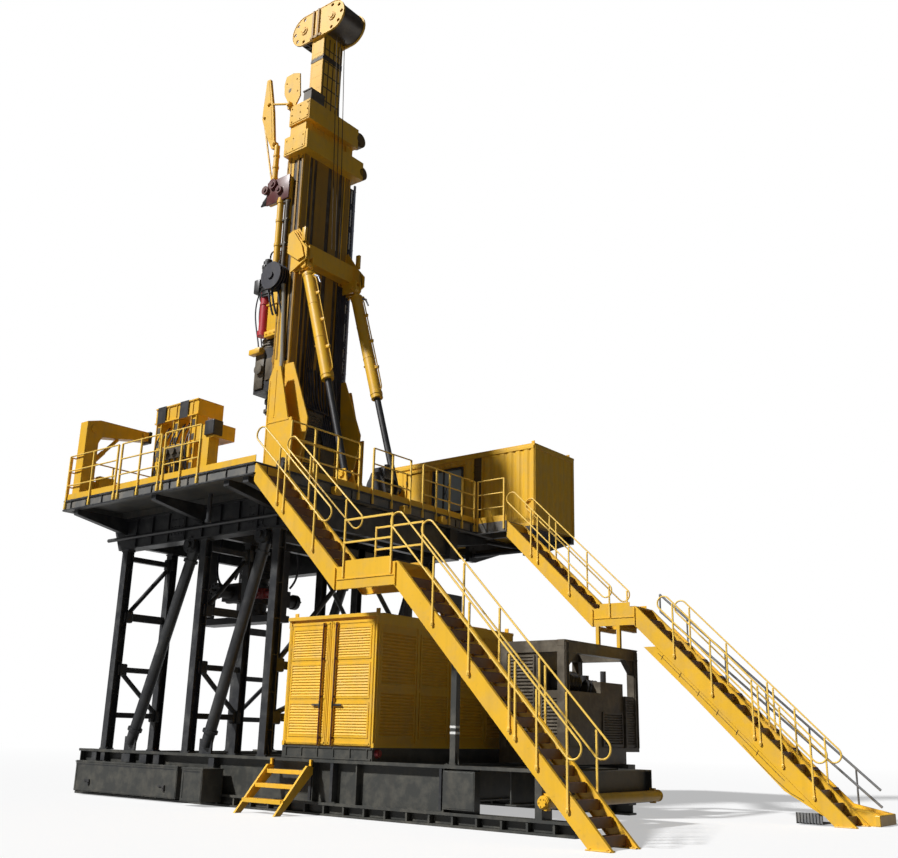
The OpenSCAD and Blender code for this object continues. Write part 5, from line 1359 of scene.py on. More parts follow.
class RIG_OT_mast(bpy.types.Operator):
    """Strips, painted-shade plates in the channels, foot ribs, pins, boxes and hoses of the outer
    mast, and its stands
    """
    bl_idname = "rig.mast"
    bl_label = "Outer mast"

    def execute(self, context):
        z0, z1 = MAST_LO[2], MAST_HI[2]
        east = at_x(MAST_X1, 1)
        steel, brown = [], []
        # side faces: seams, cover plates and strips, in the shade-darkened yellow as painted shade
        for s in SIDES:
            face = at_y(s * MAST_Y, s)
            steel.append(on_face(face, MAST_X0, z0 + 3.3, MAST_X0 + 0.05, z1 - 1.05, 0, 0.012))
            if s < 0:
                steel.append(on_face(face, MAST_X1 - 0.05, z0 + 3.3, MAST_X1, z1 - 1.05, 0, 0.012))
                for z in grid(z0 + 3.6, z1 - 1.8, 6):
                    steel += [on_face(face, MAST_X0 + 0.1, z, MAST_X0 + 0.16, z + 1.0, 0, 0.01),
                              on_face(face, MAST_X1 - 0.22, z, MAST_X1 - 0.16, z + 1.0, 0, 0.01)]
            steel.append(bolts([face(MAST_X0 + 0.025, z, 0.012)
                                for z in grid(z0 + 3.5, z1 - 1.3, 16)], (0, s, 0), 0.016, 0.014))
        done(steel, "mast_side_strips", "brown_yellow", "mast", slot="yellow_paint")
        # painted shade: dark brown plates in the side face's channel and over the plate between
        # the two side beams
        face = at_y(-MAST_Y + 0.12)
        shade = [on_face(face, MAST_X0 + 0.252, z0 + 3.51, MAST_X1 - 0.062, z1 - 1.11, 0, 0.105)]
        shade.append(on_face(east, -0.645, z0 + 1.65, 0.645, z1 - 0.6, -0.05, 0.004))
        done(shade, "mast_shaded_channels", "dark_brown", "mast", slot="yellow_paint")
        # painted shade: strips of shade-darkened yellow over that plate
        for y0, y1 in ((-0.86, -0.7), (-0.56, -0.5), (-0.4, 0.02), (0.16, 0.44),
                       (0.55, 0.6), (0.7, 0.86)):
            brown.append(on_face(east, y0, z0 + 1.7, y1, z1 - 0.62, 0, 0.016))
        done(brown, "mast_rear_channels", "brown_yellow", "mast", slot="yellow_paint")
        # clips on the head's rails, in the shade-darkened yellow as painted shade
        clips = []
        for y in (-0.75, 0.75):
            face = at_x(MAST_X0 - 0.06, -1)
            clip = on_face(face, y - 0.085, z0 + 0.5, y + 0.085, z0 + 0.56, -0.08, 0.004)
            clips.append(row(clip, 17, (0, 0, 0.58)))
        done(clips, "mast_rail_clips", "brown_yellow", "mast", slot="yellow_paint")
        # foot cheeks: ribs, pin caps and keeper plates
        feet, caps = [], []
        px, pz = PIVOT_X, PIVOT_Z
        for s in SIDES:
            face = at_y(s * (MAST_Y + 0.37), s)
            feet += [on_face(face, MAST_X0 + 0.36, z0 + 0.02, MAST_X0 + 0.4, z0 + 2.85, 0, 0.012),
                     on_face(face, MAST_X1 - 0.02, z0 + 1.9, MAST_X1 + 0.02, z0 + 3.1, 0, 0.012),
                     on_face(face, MAST_X0 + 0.4, z0 + 1.75, px + 0.1, z0 + 1.78, 0, 0.012),
                     on_face(face, MAST_X0 + 0.4, z0 + 0.04, px + 0.18, z0 + 0.07, 0, 0.012)]
            caps += [tube(face(px, pz, 0), face(px, pz, 0.03), 0.19, 36),
                     tube(face(px, pz, 0.03), face(px, pz, 0.07), 0.11, 30),
                     bolts(around(face, px, pz, 0.15, 0.03, 0.3, 5.6, 8), (0, s, 0), 0.018, 0.018)]
        done(feet, "mast_foot_ribs", "yellow", "mast")
        done(caps, "mast_pin_caps", "machine", "mast", soft=True)
        # stands on the floor: base plates, pin caps and bolts
        base = []
        for s in SIDES:
            y = s * (MAST_Y + 0.185)
            base += [block((px - 0.5, y - 0.12, DECK), (px + 0.4, y + 0.12, DECK + 0.03), 0.006),
                     bolts([(x, y + d, DECK + 0.03) for x in (px - 0.46, px + 0.36)
                            for d in (-0.09, 0.09)], (0, 0, 1), 0.024, 0.024)]
            fx = ROD_X
            base.append(block((fx - 0.24, s * LIFT_Y - 0.2, DECK),
                              (fx + 0.3, s * LIFT_Y + 0.2, DECK + 0.03), 0.006))
            for e in SIDES:
                yy = s * LIFT_Y + e * 0.14
                base += [axle(fx, ROD_Z, yy, yy + e * 0.04, 0.085, 24),
                         bolts(around(at_y(yy, e), fx, ROD_Z, 0.06, 0.04, 0, 4.2, 3),
                               (0, e, 0), 0.012, 0.012)]
        done(base, "stand_bases", "yellow", soft=True)
        # control boxes with grilles on the mast's rear foot
        box = []
        bx = MAST_X1 + 0.35
        face = at_x(bx, 1)
        box += [slats(face, -0.5, -0.06, 7.0, 7.7, 12, 0.025),
                bevelled(on_face(face, 0.02, 7.0, 0.5, 8.2, 0, 0.03), 0.01),
                bevelled(on_face(face, -0.5, 7.8, -0.06, 8.2, 0, 0.03), 0.01),
                block((MAST_X1, -0.42, 8.32), (MAST_X1 + 0.3, 0.1, 9.1), 0.02),
                block((MAST_X1, 0.2, 8.32), (MAST_X1 + 0.26, 0.6, 8.9), 0.02),
                slats(at_x(MAST_X1 + 0.3, 1), -0.36, 0.04, 8.4, 9.0, 10, 0.02)]
        done(box, "mast_control_boxes", "brown", "mast")
        # hose bundles down the rear of the mast
        hoses = []
        for k in range(9):
            y = -0.28 + k * 0.12
            hoses.append(hose([(-2.54, y, 10.3), (-2.5, y + 0.03, 10.0), (-2.52, y + 0.08, 9.6),
                               (-2.44, y * 0.8 + 0.1, 9.3), (-2.34, y * 0.7 + 0.14, 9.0),
                               (-2.26, 0.2 + y * 0.6, 8.6), (-2.24, 0.26 + y * 0.5, 8.3)], 0.028,
                              8))
        for k in range(3):
            z = 9.3 - k * 0.3
            hoses.append(hose([(-2.5, -0.3, z), (-2.36, -0.15, z - 0.16), (-2.32, 0.2, z - 0.1),
                               (-2.36, 0.5, z - 0.2), (-2.5, 0.62, z - 0.1)], 0.03, 8))
        for k in range(6):
            y = 0.62 + k * 0.055
            hoses.append(hose([(MAST_X1 + 0.03, y, 12.9), (MAST_X1 + 0.05, y, 11.6),
                               (MAST_X1 + 0.04, y + 0.02, 10.4), (MAST_X1 + 0.09, y, 9.3),
                               (MAST_X1 + 0.14, y - 0.05, 8.8), (MAST_X1 + 0.1, y - 0.1, 8.3),
                               (MAST_X1 + 0.05, y - 0.1, 8.0)], 0.02, 8))
        for k in range(5):
            y = -0.3 + k * 0.06
            hoses.append(hose([(MAST_X1 + 0.03, y, 12.7), (MAST_X1 + 0.04, y - 0.02, 11.4),
                               (MAST_X1 + 0.06, y - 0.1, 10.4), (MAST_X1 + 0.12, y - 0.14, 9.7),
                               (MAST_X1 + 0.16, y - 0.1, 9.2)], 0.018, 8))
        done(hoses, "mast_hoses", "link", "mast", soft=True)
        # hose coil and braided hose on the mast's side
        coil = []
        for k in range(7):
            r = 0.37 if k % 2 == 0 else 0.33
            coil.append(axle(-3.2, 12.7, -0.93 - k * 0.04, -0.96 - k * 0.04, r, 32))
        coil += [axle(-3.2, 12.7, -0.9, -1.24, 0.1, 24),
                 block((-3.26, -1.0, 12.7), (-3.14, -0.9, 13.2), 0.02)]
        for x in (-3.42, -3.3, -3.08):
            coil.append(hose([(x, -1.02, 12.4), (x + 0.04, -1.04, 12.2), (x + 0.1, -1.02, 11.9),
                              (x + 0.12, -0.93, 11.7)], 0.03, 10))
        done(coil, "hose_coil", "link", "mast", soft=True)
        side = [hose([(-2.92, -1.0, 12.45), (-2.9, -0.96, 12.2), (-2.86, -0.965, 11.4),
                      (-2.82, -0.965, 10.8), (-2.78, -0.97, 10.4), (-2.76, -1.0, 10.1),
                      (-2.74, -1.02, 9.7)], 0.05, 14)]
        done(side, "side_braided_hose", "braid", "mast", slot="rod_chrome", soft=True)
        return {"FINISHED"}


class RIG_OT_collars(bpy.types.Operator):
    """Round ends, plates, box and lug plates of the mast's collars and cross beam"""
    bl_idname = "rig.collars"
    bl_label = "Mast collars"

    def execute(self, context):
        ends, plates = [], []
        z = COLLAR_HI[2] - 0.3
        # round ends of the upper collar, the lower collar and the cross beam, painted in shadow
        # brown as painted shade
        y = COLLAR_HI[1]
        ends += [spar(y - 0.02, z + 0.04, MAST_X1 - 0.1, MAST_X1 + 0.12, 0.22, 32),
                 spar(y - 0.02, z + 0.04, MAST_X1 + 0.12, MAST_X1 + 0.15, 0.15, 28)]
        y = 1.08
        for zz in (16.45, 13.25):
            ends += [spar(y, zz, MAST_X1 + 0.03, MAST_X1 + 0.25, 0.2, 32),
                     spar(y, zz, MAST_X1 + 0.25, MAST_X1 + 0.28, 0.12, 28)]
        done(ends, "collar_rollers", "shadow_brown", "mast", slot="yellow_paint", soft=True)
        lo, hi = COLLAR_LO, COLLAR_HI
        face = at_y(-0.95, -1)
        plates += [bevelled(on_face(face, lo[0] + 0.04, hi[2] - 0.56, hi[0] - 0.16, hi[2] - 0.04,
                                    0, 0.016), 0.006),
                   bolts([face(a, b, 0.016) for a in (lo[0] + 0.1, MAST_X1 - 0.2, MAST_X1 + 0.08)
                          for b in (hi[2] - 0.5, hi[2] - 0.3, hi[2] - 0.1)],
                         (0, -1, 0), 0.02, 0.02)]
        face = at_y(-1.08, -1)
        b0, b1 = 16.22, 16.73
        plates += [bevelled(on_face(face, MAST_X0 + 0.04, b0 + 0.03, MAST_X1 + 0.2, b1 - 0.03, 0,
                                    0.014), 0.005),
                   bolts([face(a, b, 0.014)
                          for a in (MAST_X0 + 0.1, MAST_X0 + 0.35, MAST_X1 + 0.12)
                          for b in (b0 + 0.1, b1 - 0.1)], (0, -1, 0), 0.018, 0.018)]
        done(plates, "collar_plates", "yellow", "mast")
        # box on the upper collar's corner, painted brown as painted shade
        box = [block((MAST_X1 - 0.15, -0.93, hi[2]), (MAST_X1 + 0.15, -0.42, hi[2] + 0.32), 0.015),
               block((MAST_X1 - 0.17, -0.95, hi[2] + 0.3),
                     (MAST_X1 + 0.15, -0.4, hi[2] + 0.34), 0.006)]
        done(box, "collar_box", "brown", "mast")
        # stacked lug plates at the raising cylinders' heads
        lugs = []
        for s in SIDES:
            for k, y in enumerate((0.9, 0.97, 1.04, 1.11)):
                lugs.append(outline([(MAST_X1 - 0.1, 13.9 - 0.06 * k),
                                     (MAST_X1 + 0.06, 13.95 - 0.05 * k),
                                     (MAST_X1 + 0.5 - 0.03 * k, 13.3), (MAST_X1 + 0.52, 12.95),
                                     (MAST_X1 + 0.3, 12.9), (MAST_X1 - 0.1, 13.2)],
                                    (s * y, s * (y + 0.022)), in_xz))
            lugs += [axle(MAST_X1 + 0.4, LIFT_Z, s * 0.99, s * 1.03, 0.1, 28),
                     bolts(around(at_y(s * 1.03), MAST_X1 + 0.4, LIFT_Z, 0.07, 0, 0, 5.2, 6),
                           (0, s, 0), 0.014, 0.012),
                     block((MAST_X1 + 0.3, s - 0.04, 13.45),
                           (MAST_X1 + 0.42, s + 0.04, 13.85), 0.01)]
        done(lugs, "cylinder_lug_plates", "yellow", "mast", soft=True)
        return {"FINISHED"}


class RIG_OT_chains(bpy.types.Operator):
    """Two link chains that carry the hoses up the mast, with their guide strips"""
    bl_idname = "rig.chains"
    bl_label = "Hose chains"

    def execute(self, context):
        x0, y0, z0 = CHAIN_LO
        x1, y1, z1 = CHAIN_HI
        pitch = 0.118
        count = int((z1 - z0) / pitch)
        links, marks = [], []
        for xa, xb in ((x0, x0 + 0.15), (x1 - 0.16, x1 - 0.01)):
            link = block((xa, y0 + 0.03, z0), (xb, y1 - 0.01, z0 + pitch * 0.86), 0.012, 1)
            side = [spar(y0 + 0.06, z0 + pitch * 0.43, xb, xb + 0.01, 0.03, 10),
                    axle(xa + 0.075, z0 + pitch * 0.43, y1 - 0.01, y1, 0.03, 10)]
            links.append(row(joined([link] + side), count, (0, 0, pitch)))
        back = cube((x0 + 0.02, y0, z0), (x1 - 0.02, y0 + 0.05, z1))
        done(links + [back], "hose_chain_links", "link", "mast", soft=True)
        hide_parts("cable_carrier")
        for za, zb in ((0.3, 0.62), (0.74, 0.98), (1.2, 1.7), (2.0, 2.25), (2.5, 2.9), (3.1, 3.5),
                       (3.9, 4.4), (4.6, 5.1), (5.3, 5.7)):
            marks += [cube((x1 - 0.012, y0 + 0.08, z0 + za), (x1 + 0.004, y0 + 0.11, z0 + zb)),
                      cube((x0 + 0.08, y1 - 0.012, z0 + za), (x0 + 0.11, y1 + 0.003, z0 + zb))]
        done(marks, "hose_chain_marks", "white", "mast", slot="rail_paint")
        strip = [cube((x1 - 0.03, y1 - 0.04, z0), (x1 + 0.01, y1 + 0.02, z1)),
                 cube((x0 - 0.02, y1 - 0.04, z0), (x0 + 0.02, y1 + 0.02, z1))]
        clip = cube((x0 - 0.03, y1 - 0.05, z0 + 0.3), (x1 + 0.015, y1 + 0.024, z0 + 0.33))
        strip.append(row(clip, 10, (0, 0, 0.6)))
        done(strip, "hose_chain_guide", "pale_steel", "mast", slot="rod_chrome")
        return {"FINISHED"}


class RIG_OT_cylinders(bpy.types.Operator):
    """Rings, pipes and fittings of the raising cylinders"""
    bl_idname = "rig.cylinders"
    bl_label = "Raising cylinders"

    def execute(self, context):
        lean = radians(BARREL_LEAN)
        down = Vector((sin(lean), 0, -cos(lean)))
        across = Vector((cos(lean), 0, sin(lean)))
        rings, pipes, sleeves = [], [], []
        for s in SIDES:
            head = Vector((LIFT_X, s * LIFT_Y, LIFT_Z))

            def on(d, side=0.0):
                return head + down * d + across * side
            for d0, d1, r in ((0.27, 0.33, 0.165), (0.33, 0.36, 0.158), (3.24, 3.3, 0.16),
                              (1.2, 1.23, 0.156), (2.2, 2.23, 0.156)):
                rings.append(band(on(d0), on(d1), r, 0.03))
            # side pipe with elbows
            pipes.append(hose([on(0.45, 0.14), on(0.45, 0.21), on(0.55, 0.22), on(1.2, 0.22),
                               on(2.4, 0.22), on(3.1, 0.22), on(3.2, 0.21), on(3.2, 0.15)], 0.016,
                              10))
            for d in (0.9, 1.7, 2.5):
                pipes.append(block(on(d) + Vector((0.12, -0.03, -0.04)),
                                   on(d) + Vector((0.26, 0.03, 0.04)), 0.008))
            pipes += [tube(on(0.4, 0.1), on(0.4, 0.24), 0.035, 14),
                      tube(on(2.35, -0.14), on(2.35, -0.2), 0.03, 12)]
            sleeves += [tube(on(0.42, 0.2), on(0.52, 0.3), 0.03, 12),
                        tube(on(0.52, 0.29), on(0.72, 0.33), 0.022, 12)]
        done(rings, "cylinder_rings", "yellow", "barrels", soft=True)
        done(pipes, "cylinder_pipes", "yellow", "barrels", soft=True)
        done(sleeves, "cylinder_fittings", "pale_steel", "barrels", slot="rod_chrome", soft=True)
        return {"FINISHED"}


class RIG_OT_head(bpy.types.Operator):
    """Gear unit, plates, feed cylinders, lower unit, carriage trim and hoses of the head"""
    bl_idname = "rig.head"
    bl_label = "Rotary head"

    def execute(self, context):
        wx = WELL_X
        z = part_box("rotary_head")[0][2] + 0.5
        back = MAST_X0 - 0.1
        black, yellow, brown, red = [], [], [], []
        # round gear unit with ribs, cap bolts and motors
        for k in range(6):
            black.append(post(wx, 0, z + 2.76 + k * 0.13, z + 2.8 + k * 0.13, 0.545, 44))
        for a in grid(0, 2 * pi * 11 / 12, 12):
            c, d = cos(a), sin(a)
            black.append(post(wx + 0.5 * c, 0.5 * d, z + 3.52, z + 3.6, 0.035, 8))
        for dx, dy in ((-0.25, -0.27), (-0.25, 0.27), (0.28, -0.28), (0.28, 0.28)):
            black += [post(wx + dx, dy, z + 3.5, z + 3.85, 0.14, 24),
                      post(wx + dx, dy, z + 3.85, z + 3.92, 0.1, 24),
                      block((wx + dx - 0.06, dy - 0.18, z + 3.6),
                            (wx + dx + 0.06, dy + 0.18, z + 3.72), 0.015)]
        black.append(block((wx - 0.52, -0.5, z + 2.9), (wx - 0.3, -0.2, z + 3.3), 0.03))
        done(black, "head_gear_unit", "machine", "head", soft=True)
        # yellow box body on the -Y side with flanged edges
        face = at_y(-0.33, -1)
        yellow += [block((wx + 0.1, -0.47, z + 1.62), (back - 0.02, -0.33, z + 3.3), 0.02),
                   block((wx + 0.06, -0.5, z + 1.5), (back - 0.02, -0.33, z + 1.66), 0.01),
                   block((wx + 0.06, -0.5, z + 2.4), (back - 0.02, -0.47, z + 2.44), 0.006),
                   bolts([(x, -0.5, z + 1.58) for x in grid(wx + 0.14, back - 0.1, 5)], (0, -1, 0),
                         0.02, 0.02),
                   block((wx - 0.36, -0.62, z + 1.05), (wx + 0.06, -0.42, z + 1.2), 0.02),
                   block((wx - 0.4, -0.4, z + 1.2), (wx - 0.2, 0.4, z + 1.34), 0.02)]
        done(yellow, "head_body_plates", "yellow", "head", soft=True)
        # slim red feed cylinder in front
        for y in (-0.36, 0.36):
            red += [post(wx - 0.14, y, z + 1.75, z + 2.86, 0.135, 28),
                    post(wx - 0.14, y, z + 1.62, z + 1.75, 0.16, 28),
                    post(wx - 0.14, y, z + 2.5, z + 2.54, 0.15, 28),
                    post(wx - 0.3, y, z + 1.7, z + 2.6, 0.03, 12)]
        done(red, "head_feed_cylinders", "bright_red", "head", slot="red_paint", soft=True)
        # bearing rings and lower gripping unit
        for k, r in enumerate((0.36, 0.33, 0.36, 0.33, 0.37)):
            brown.append(post(wx, 0, z + 1.22 + k * 0.07, z + 1.26 + k * 0.07, r, 36))
        face = at_y(-0.42, -1)
        brown += [bevelled(on_face(face, wx - 0.24, z + 0.1, wx + 0.1, z + 1.1, 0, 0.05), 0.02),
                  bevelled(on_face(face, wx + 0.16, z + 0.3, back - 0.1, z + 0.9, 0, 0.04), 0.02),
                  axle(wx - 0.02, z + 0.62, -0.47, -0.56, 0.14, 28),
                  post(wx, 0, z - 0.45, z - 0.38, 0.2, 32),
                  post(wx, 0, z - 0.2, z - 0.1, 0.19, 32)]
        for yy in (-0.2, 0.0, 0.2):
            brown.append(post(wx - 0.28, yy, z + 0.1, z + 1.0, 0.05, 16))
        done(brown, "head_lower_unit", "brown", "head", soft=True)
        # carriage trim, in the shade-darkened yellow as painted shade
        trim = []
        for y in (-0.64, 0.6):
            trim.append(cube((back - 0.06, y, z + 0.45), (back - 0.03, y + 0.04, z + 3.55)))
        for zz in grid(z + 0.5, z + 3.45, 7):
            trim.append(cube((back - 0.058, -0.68, zz), (back - 0.03, 0.68, zz + 0.03)))
        for s in SIDES:
            for zz in (z + 0.55, z + 1.9, z + 3.2):
                trim.append(block((back - 0.06, s * 0.69, zz),
                                  (back + 0.03, s * 0.81, zz + 0.2), 0.015))
        done(trim, "head_carriage_trim", "brown_yellow", "head", slot="yellow_paint")
        # braided hose loops down the side, and thin hoses round the unit
        braid = [hose([(back - 0.12, -0.55, z + 2.95), (back - 0.05, -0.66, z + 2.9),
                       (back - 0.03, -0.7, z + 2.6), (back - 0.02, -0.68, z + 1.9),
                       (back - 0.06, -0.66, z + 1.2), (back - 0.1, -0.62, z + 0.7),
                       (back - 0.15, -0.5, z + 0.4), (back - 0.3, -0.42, z + 0.35)], 0.055, 14),
                 hose([(back - 0.2, -0.5, z + 2.7), (back - 0.12, -0.62, z + 2.6),
                       (back - 0.12, -0.66, z + 2.0), (back - 0.16, -0.62, z + 1.5),
                       (back - 0.25, -0.5, z + 1.3)], 0.045, 14)]
        done(braid, "head_braided_hoses", "braid", "head", slot="rod_chrome", soft=True)
        lines = []
        for k in range(6):
            y = -0.5 + 0.2 * k
            lines += [hose([(wx - 0.1, y * 0.7, z + 3.9), (wx + 0.05, y, z + 4.05),
                            (back - 0.25, y, z + 3.9), (back - 0.12, y, z + 3.6),
                            (back - 0.12, y, z + 3.2)], 0.022, 8),
                      hose([(wx - 0.45, y * 0.7, z + 2.9), (wx - 0.58, y * 0.7, z + 2.6),
                            (wx - 0.5, y * 0.7, z + 2.0), (wx - 0.36, y * 0.6, z + 1.5),
                            (wx - 0.3, y * 0.6, z + 1.1)], 0.02, 8)]
        done(lines, "head_hoses", "link", "head", soft=True)
        return {"FINISHED"}


class RIG_OT_pipe_arm(bpy.types.Operator):
    """Gripper jaws, nozzle, pins and clamps of the pipe arm"""
    bl_idname = "rig.pipe_arm"
    bl_label = "Pipe arm"

    def execute(self, context):
        y = -MAST_Y - 0.06
        x = MAST_X0 - 0.42
        top = MAST_HI[2]
        dark, gold, grey = [], [], []
        zc = top - 1.92
        dark.append(block((x - 0.16, y - 0.1, zc - 0.36),
                          (MAST_X0 + 0.28, y - 0.05, zc + 0.34), 0.02))
        for dx, w, zz in ((-0.18, 0.16, 0.1), (0.1, 0.2, 0.2), (0.36, 0.14, -0.05)):
            dark += [axle(x + dx, zc + zz, y - 0.17, y - 0.09, w / 2 + 0.04, 26),
                     axle(x + dx, zc + zz, y - 0.2, y - 0.17, w / 3, 20)]
        dark.append(block((x - 0.2, y - 0.08, zc - 0.1), (x - 0.12, y + 0.08, zc + 0.25), 0.02))
        done(dark, "gripper_jaws", "dark_red", "mast", slot="red_paint", soft=True)
        nozzle = [tube((x - 0.14, y, zc - 0.12), (x - 0.34, y, zc - 0.2), 0.11, 24, 0.07),
                  tube((x - 0.34, y, zc - 0.2), (x - 0.46, y, zc - 0.24), 0.06, 20, 0.02)]
        done(nozzle, "gripper_nozzle", "machine", "mast", soft=True)
        # clamps round the long tube and the grey pipe beside it
        for z in (top - 4.3, top - 3.6, top - 2.9, top - 2.35):
            gold.append(post(MAST_X0 - 0.05, y - 0.04, z, z + 0.07, 0.1, 28))
            grey.append(block((MAST_X0 + 0.04, y - 0.05, z),
                              (MAST_X0 + 0.24, y + 0.05, z + 0.06), 0.01))
        for z in (top - 1.5, top - 1.15, top - 0.8):
            gold.append(post(x, y, z, z + 0.06, 0.09, 28))
        # rib and pins on the arm's blade
        face = at_y(y - 0.04, -1)
        gold.append(outline([(MAST_X0 + a, top + b) for a,
                             b in ((-1.0, 1.8), (-0.94, 1.8), (-0.74, 0.75), (-0.62, -0.2),
                                   (-0.74, -0.1), (-1.02, 0.62))], (y - 0.05, y - 0.04), in_xz))
        for a, b, r in ((MAST_X0 - 0.86, top + 1.0, 0.06), (MAST_X0 - 0.52, top - 0.36, 0.07),
                        (MAST_X0 - 0.05, top + 0.66, 0.05), (MAST_X0 - 1.0, top + 0.62, 0.04)):
            gold += [tube(face(a, b, -0.1), face(a, b, 0.04), r, 24),
                     tube(face(a, b, 0.04), face(a, b, 0.06), r * 0.6, 20)]
        # cam plate above the collar: a dark brown plate as the painted shade of a bore, and bolts
        face = at_y(-MAST_Y + 0.001, -1)
        dark = [outline([(-0.22, 1.23), (-0.16, 1.29), (-0.1, 1.27), (-0.13, 1.18), (-0.19, 1.16)],
                        (-MAST_Y - 0.002, -MAST_Y + 0.002),
                        lambda a, b, t: (MAST_X0 + a, t, top + b))]
        done(dark, "cam_plate_bore", "dark_brown", "mast", slot="brown_machine")
        gold.append(bolts([face(MAST_X0 + a, top + b, 0) for a,
                           b in ((-0.3, 1.5), (0.1, 1.5), (0.15, 1.1))], (0, -1, 0), 0.02, 0.02))
        done(gold, "pipe_arm_trim", "yellow", "mast", soft=True)
        grey.append(post(MAST_X0 + 0.18, y - 0.01, top - 4.25, top - 2.3, 0.052, 20))
        done(grey, "pipe_arm_tubes", "brown", "mast", slot="skid_paint", soft=True)
        return {"FINISHED"}


class RIG_OT_inner_mast(bpy.types.Operator):
    """Strips, ribs and toothed band of the inner mast"""
    bl_idname = "rig.inner_mast"
    bl_label = "Inner mast"

    def execute(self, context):
        lo, hi = INNER_LO, INNER_HI
        x0, x1, y0, y1 = lo[0], hi[0], lo[1], hi[1]
        z0, z1 = INNER_SHOWN, hi[2]
        strips, dark, rack = [], [], []
        for y, s in ((y0, -1), (y1, 1)):
            face = at_y(y, s)
            for a in (x0 + 0.01, x1 - 0.05):
                strips.append(on_face(face, a, z0 + 0.65, a + 0.04, z1 - 0.05, 0, 0.003))
            for z in grid(z0 + 0.7, z1 - 0.5, 4):
                strips.append(on_face(face, x0 + 0.05, z, x1 - 0.05, z + 0.03, 0, 0.003))
        done(strips, "inner_mast_strips", "yellow", "mast_inner")
        # painted shade: ribs in shadow brown on the east and west faces
        east = at_x(x1, 1)
        for y in (-0.33, -0.16, 0.02, 0.2, 0.31):
            dark.append(on_face(east, y, z0, y + 0.035, z1 - 0.02, 0, 0.007))
        for z in grid(z0 + 0.3, z1 - 0.4, 5):
            dark.append(on_face(east, -0.3, z, 0.32, z + 0.04, 0, 0.004))
        west = at_x(x0, -1)
        for y in (-0.3, 0.26):
            dark.append(on_face(west, y, z0, y + 0.04, z1 - 0.02, 0, 0.016))
        done(dark, "inner_mast_ribs", "shadow_brown", "mast_inner", slot="yellow_paint")
        # toothed band near the top
        face = at_y(y0, -1)
        rack.append(on_face(face, x0 - 0.004, 19.5, x1 + 0.004, 19.56, 0, 0.012))
        tooth = outline([(0, 0), (0.052, 0), (0.026, 0.09)], (0, 0.012),
                        lambda a, b, t: face(x0 + 0.005 + a, 19.56 + b, t))
        rack += [row(tooth, 9, (0.052, 0, 0)), on_face(east, y0, 19.5, y1, 19.66, 0, 0.012)]
        done(rack, "inner_mast_band", "dark_brown", "mast_inner", slot="black_machine")
        return {"FINISHED"}


class RIG_OT_crown(bpy.types.Operator):
    """Sheaves, axle caps, rims, ribs, spacers and plates of the crown"""
    bl_idname = "rig.crown"
    bl_label = "Crown"

    def execute(self, context):
        lo, hi = CROWN_LO, CROWN_HI
        cx = CROWN_MID
        zc, r = (lo[2] + hi[2]) / 2, (hi[2] - lo[2]) / 2
        half = (hi[0] - lo[0]) / 2 - r
        y_out = hi[1]
        y_in = y_out - 0.04
        wheels, caps, rims, ribs, rods = [], [], [], [], []
        for e in SIDES:
            for y in grid(-0.3, 0.24, 4):
                wheels.append(grooved((cx + e * half, y, zc),
                                      (cx + e * half, y + 0.07, zc), r - 0.1))
            for s in SIDES:
                face = at_y(s * y_out, s)
                c = (cx + e * half, zc)
                caps += [tube(face(*c, -0.01), face(*c, 0.025), 0.13, 32),
                         tube(face(*c, 0.025), face(*c, 0.05), 0.07, 28),
                         bolts(around(face, *c, 0.1, 0.025, 0, 5.2, 6), (0, s, 0), 0.014, 0.012)]
                # raised edge round each end
                pts = [(c[0] + e * r * cos(a) * k, c[1] + r * sin(a) * k) for k,
                       order in ((1.0, 1), (0.965, -1))
                       for a in grid(-pi / 2 * order, pi / 2 * order, 17)]
                rims.append(outline(pts, (s * y_out, s * (y_out + 0.012)), in_xz))
        for s in SIDES:
            face = at_y(s * y_out, s)
            rims += [on_face(face, cx - half, hi[2] - 0.018, cx + half, hi[2], 0, 0.012),
                     on_face(face, cx - half, lo[2], cx + half, lo[2] + 0.018, 0, 0.012)]
            for a in (-0.2, 0.0):
                ribs.append(bevelled(on_face(face, cx + a, lo[2] + 0.02, cx + a + 0.07,
                                             hi[2] - 0.02, 0, 0.05), 0.006))
            ribs.append(on_face(face, cx - 0.28, lo[2] + 0.02, cx + 0.16, lo[2] + 0.1, 0, 0.03))
        for e in SIDES:
            for a in grid(-pi / 2, pi / 2, 5):
                x, z = cx + e * (half + (r - 0.11) * cos(a)), zc + (r - 0.11) * sin(a)
                rods.append(axle(x, z, -y_in, y_in, 0.03, 12))
        top = [block((cx - 0.5, -y_in, hi[2] - 0.035), (cx + 0.5, y_in, hi[2] - 0.012), 0.005),
               block((cx - 0.3, -y_in, lo[2] + 0.1), (cx + 0.3, y_in, lo[2] + 0.35), 0.02)]
        cover = [axle(cx + half, zc, -y_in, y_in, r - 0.03, 48)]
        done(cover, "crown_end_cover", "dark_brown", "mast_inner", slot="brown_machine", soft=True)
        done(wheels, "crown_sheaves", "dark_brown", "mast_inner", slot="black_machine", soft=True)
        done(caps, "crown_axle_caps", "yellow", "mast_inner", soft=True)
        done(rims, "crown_rims", "yellow", "mast_inner")
        # painted shade: the ribs are in the shade-darkened yellow
        done(ribs, "crown_ribs", "brown_yellow", "mast_inner", slot="brown_machine")
        done(rods, "crown_spacers", "dark_brown", "mast_inner", slot="black_machine", soft=True)
        # painted shade: the cross plates are in shadow brown
        done(top, "crown_cross_plates", "shadow_brown", "mast_inner", slot="yellow_paint")
        return {"FINISHED"}


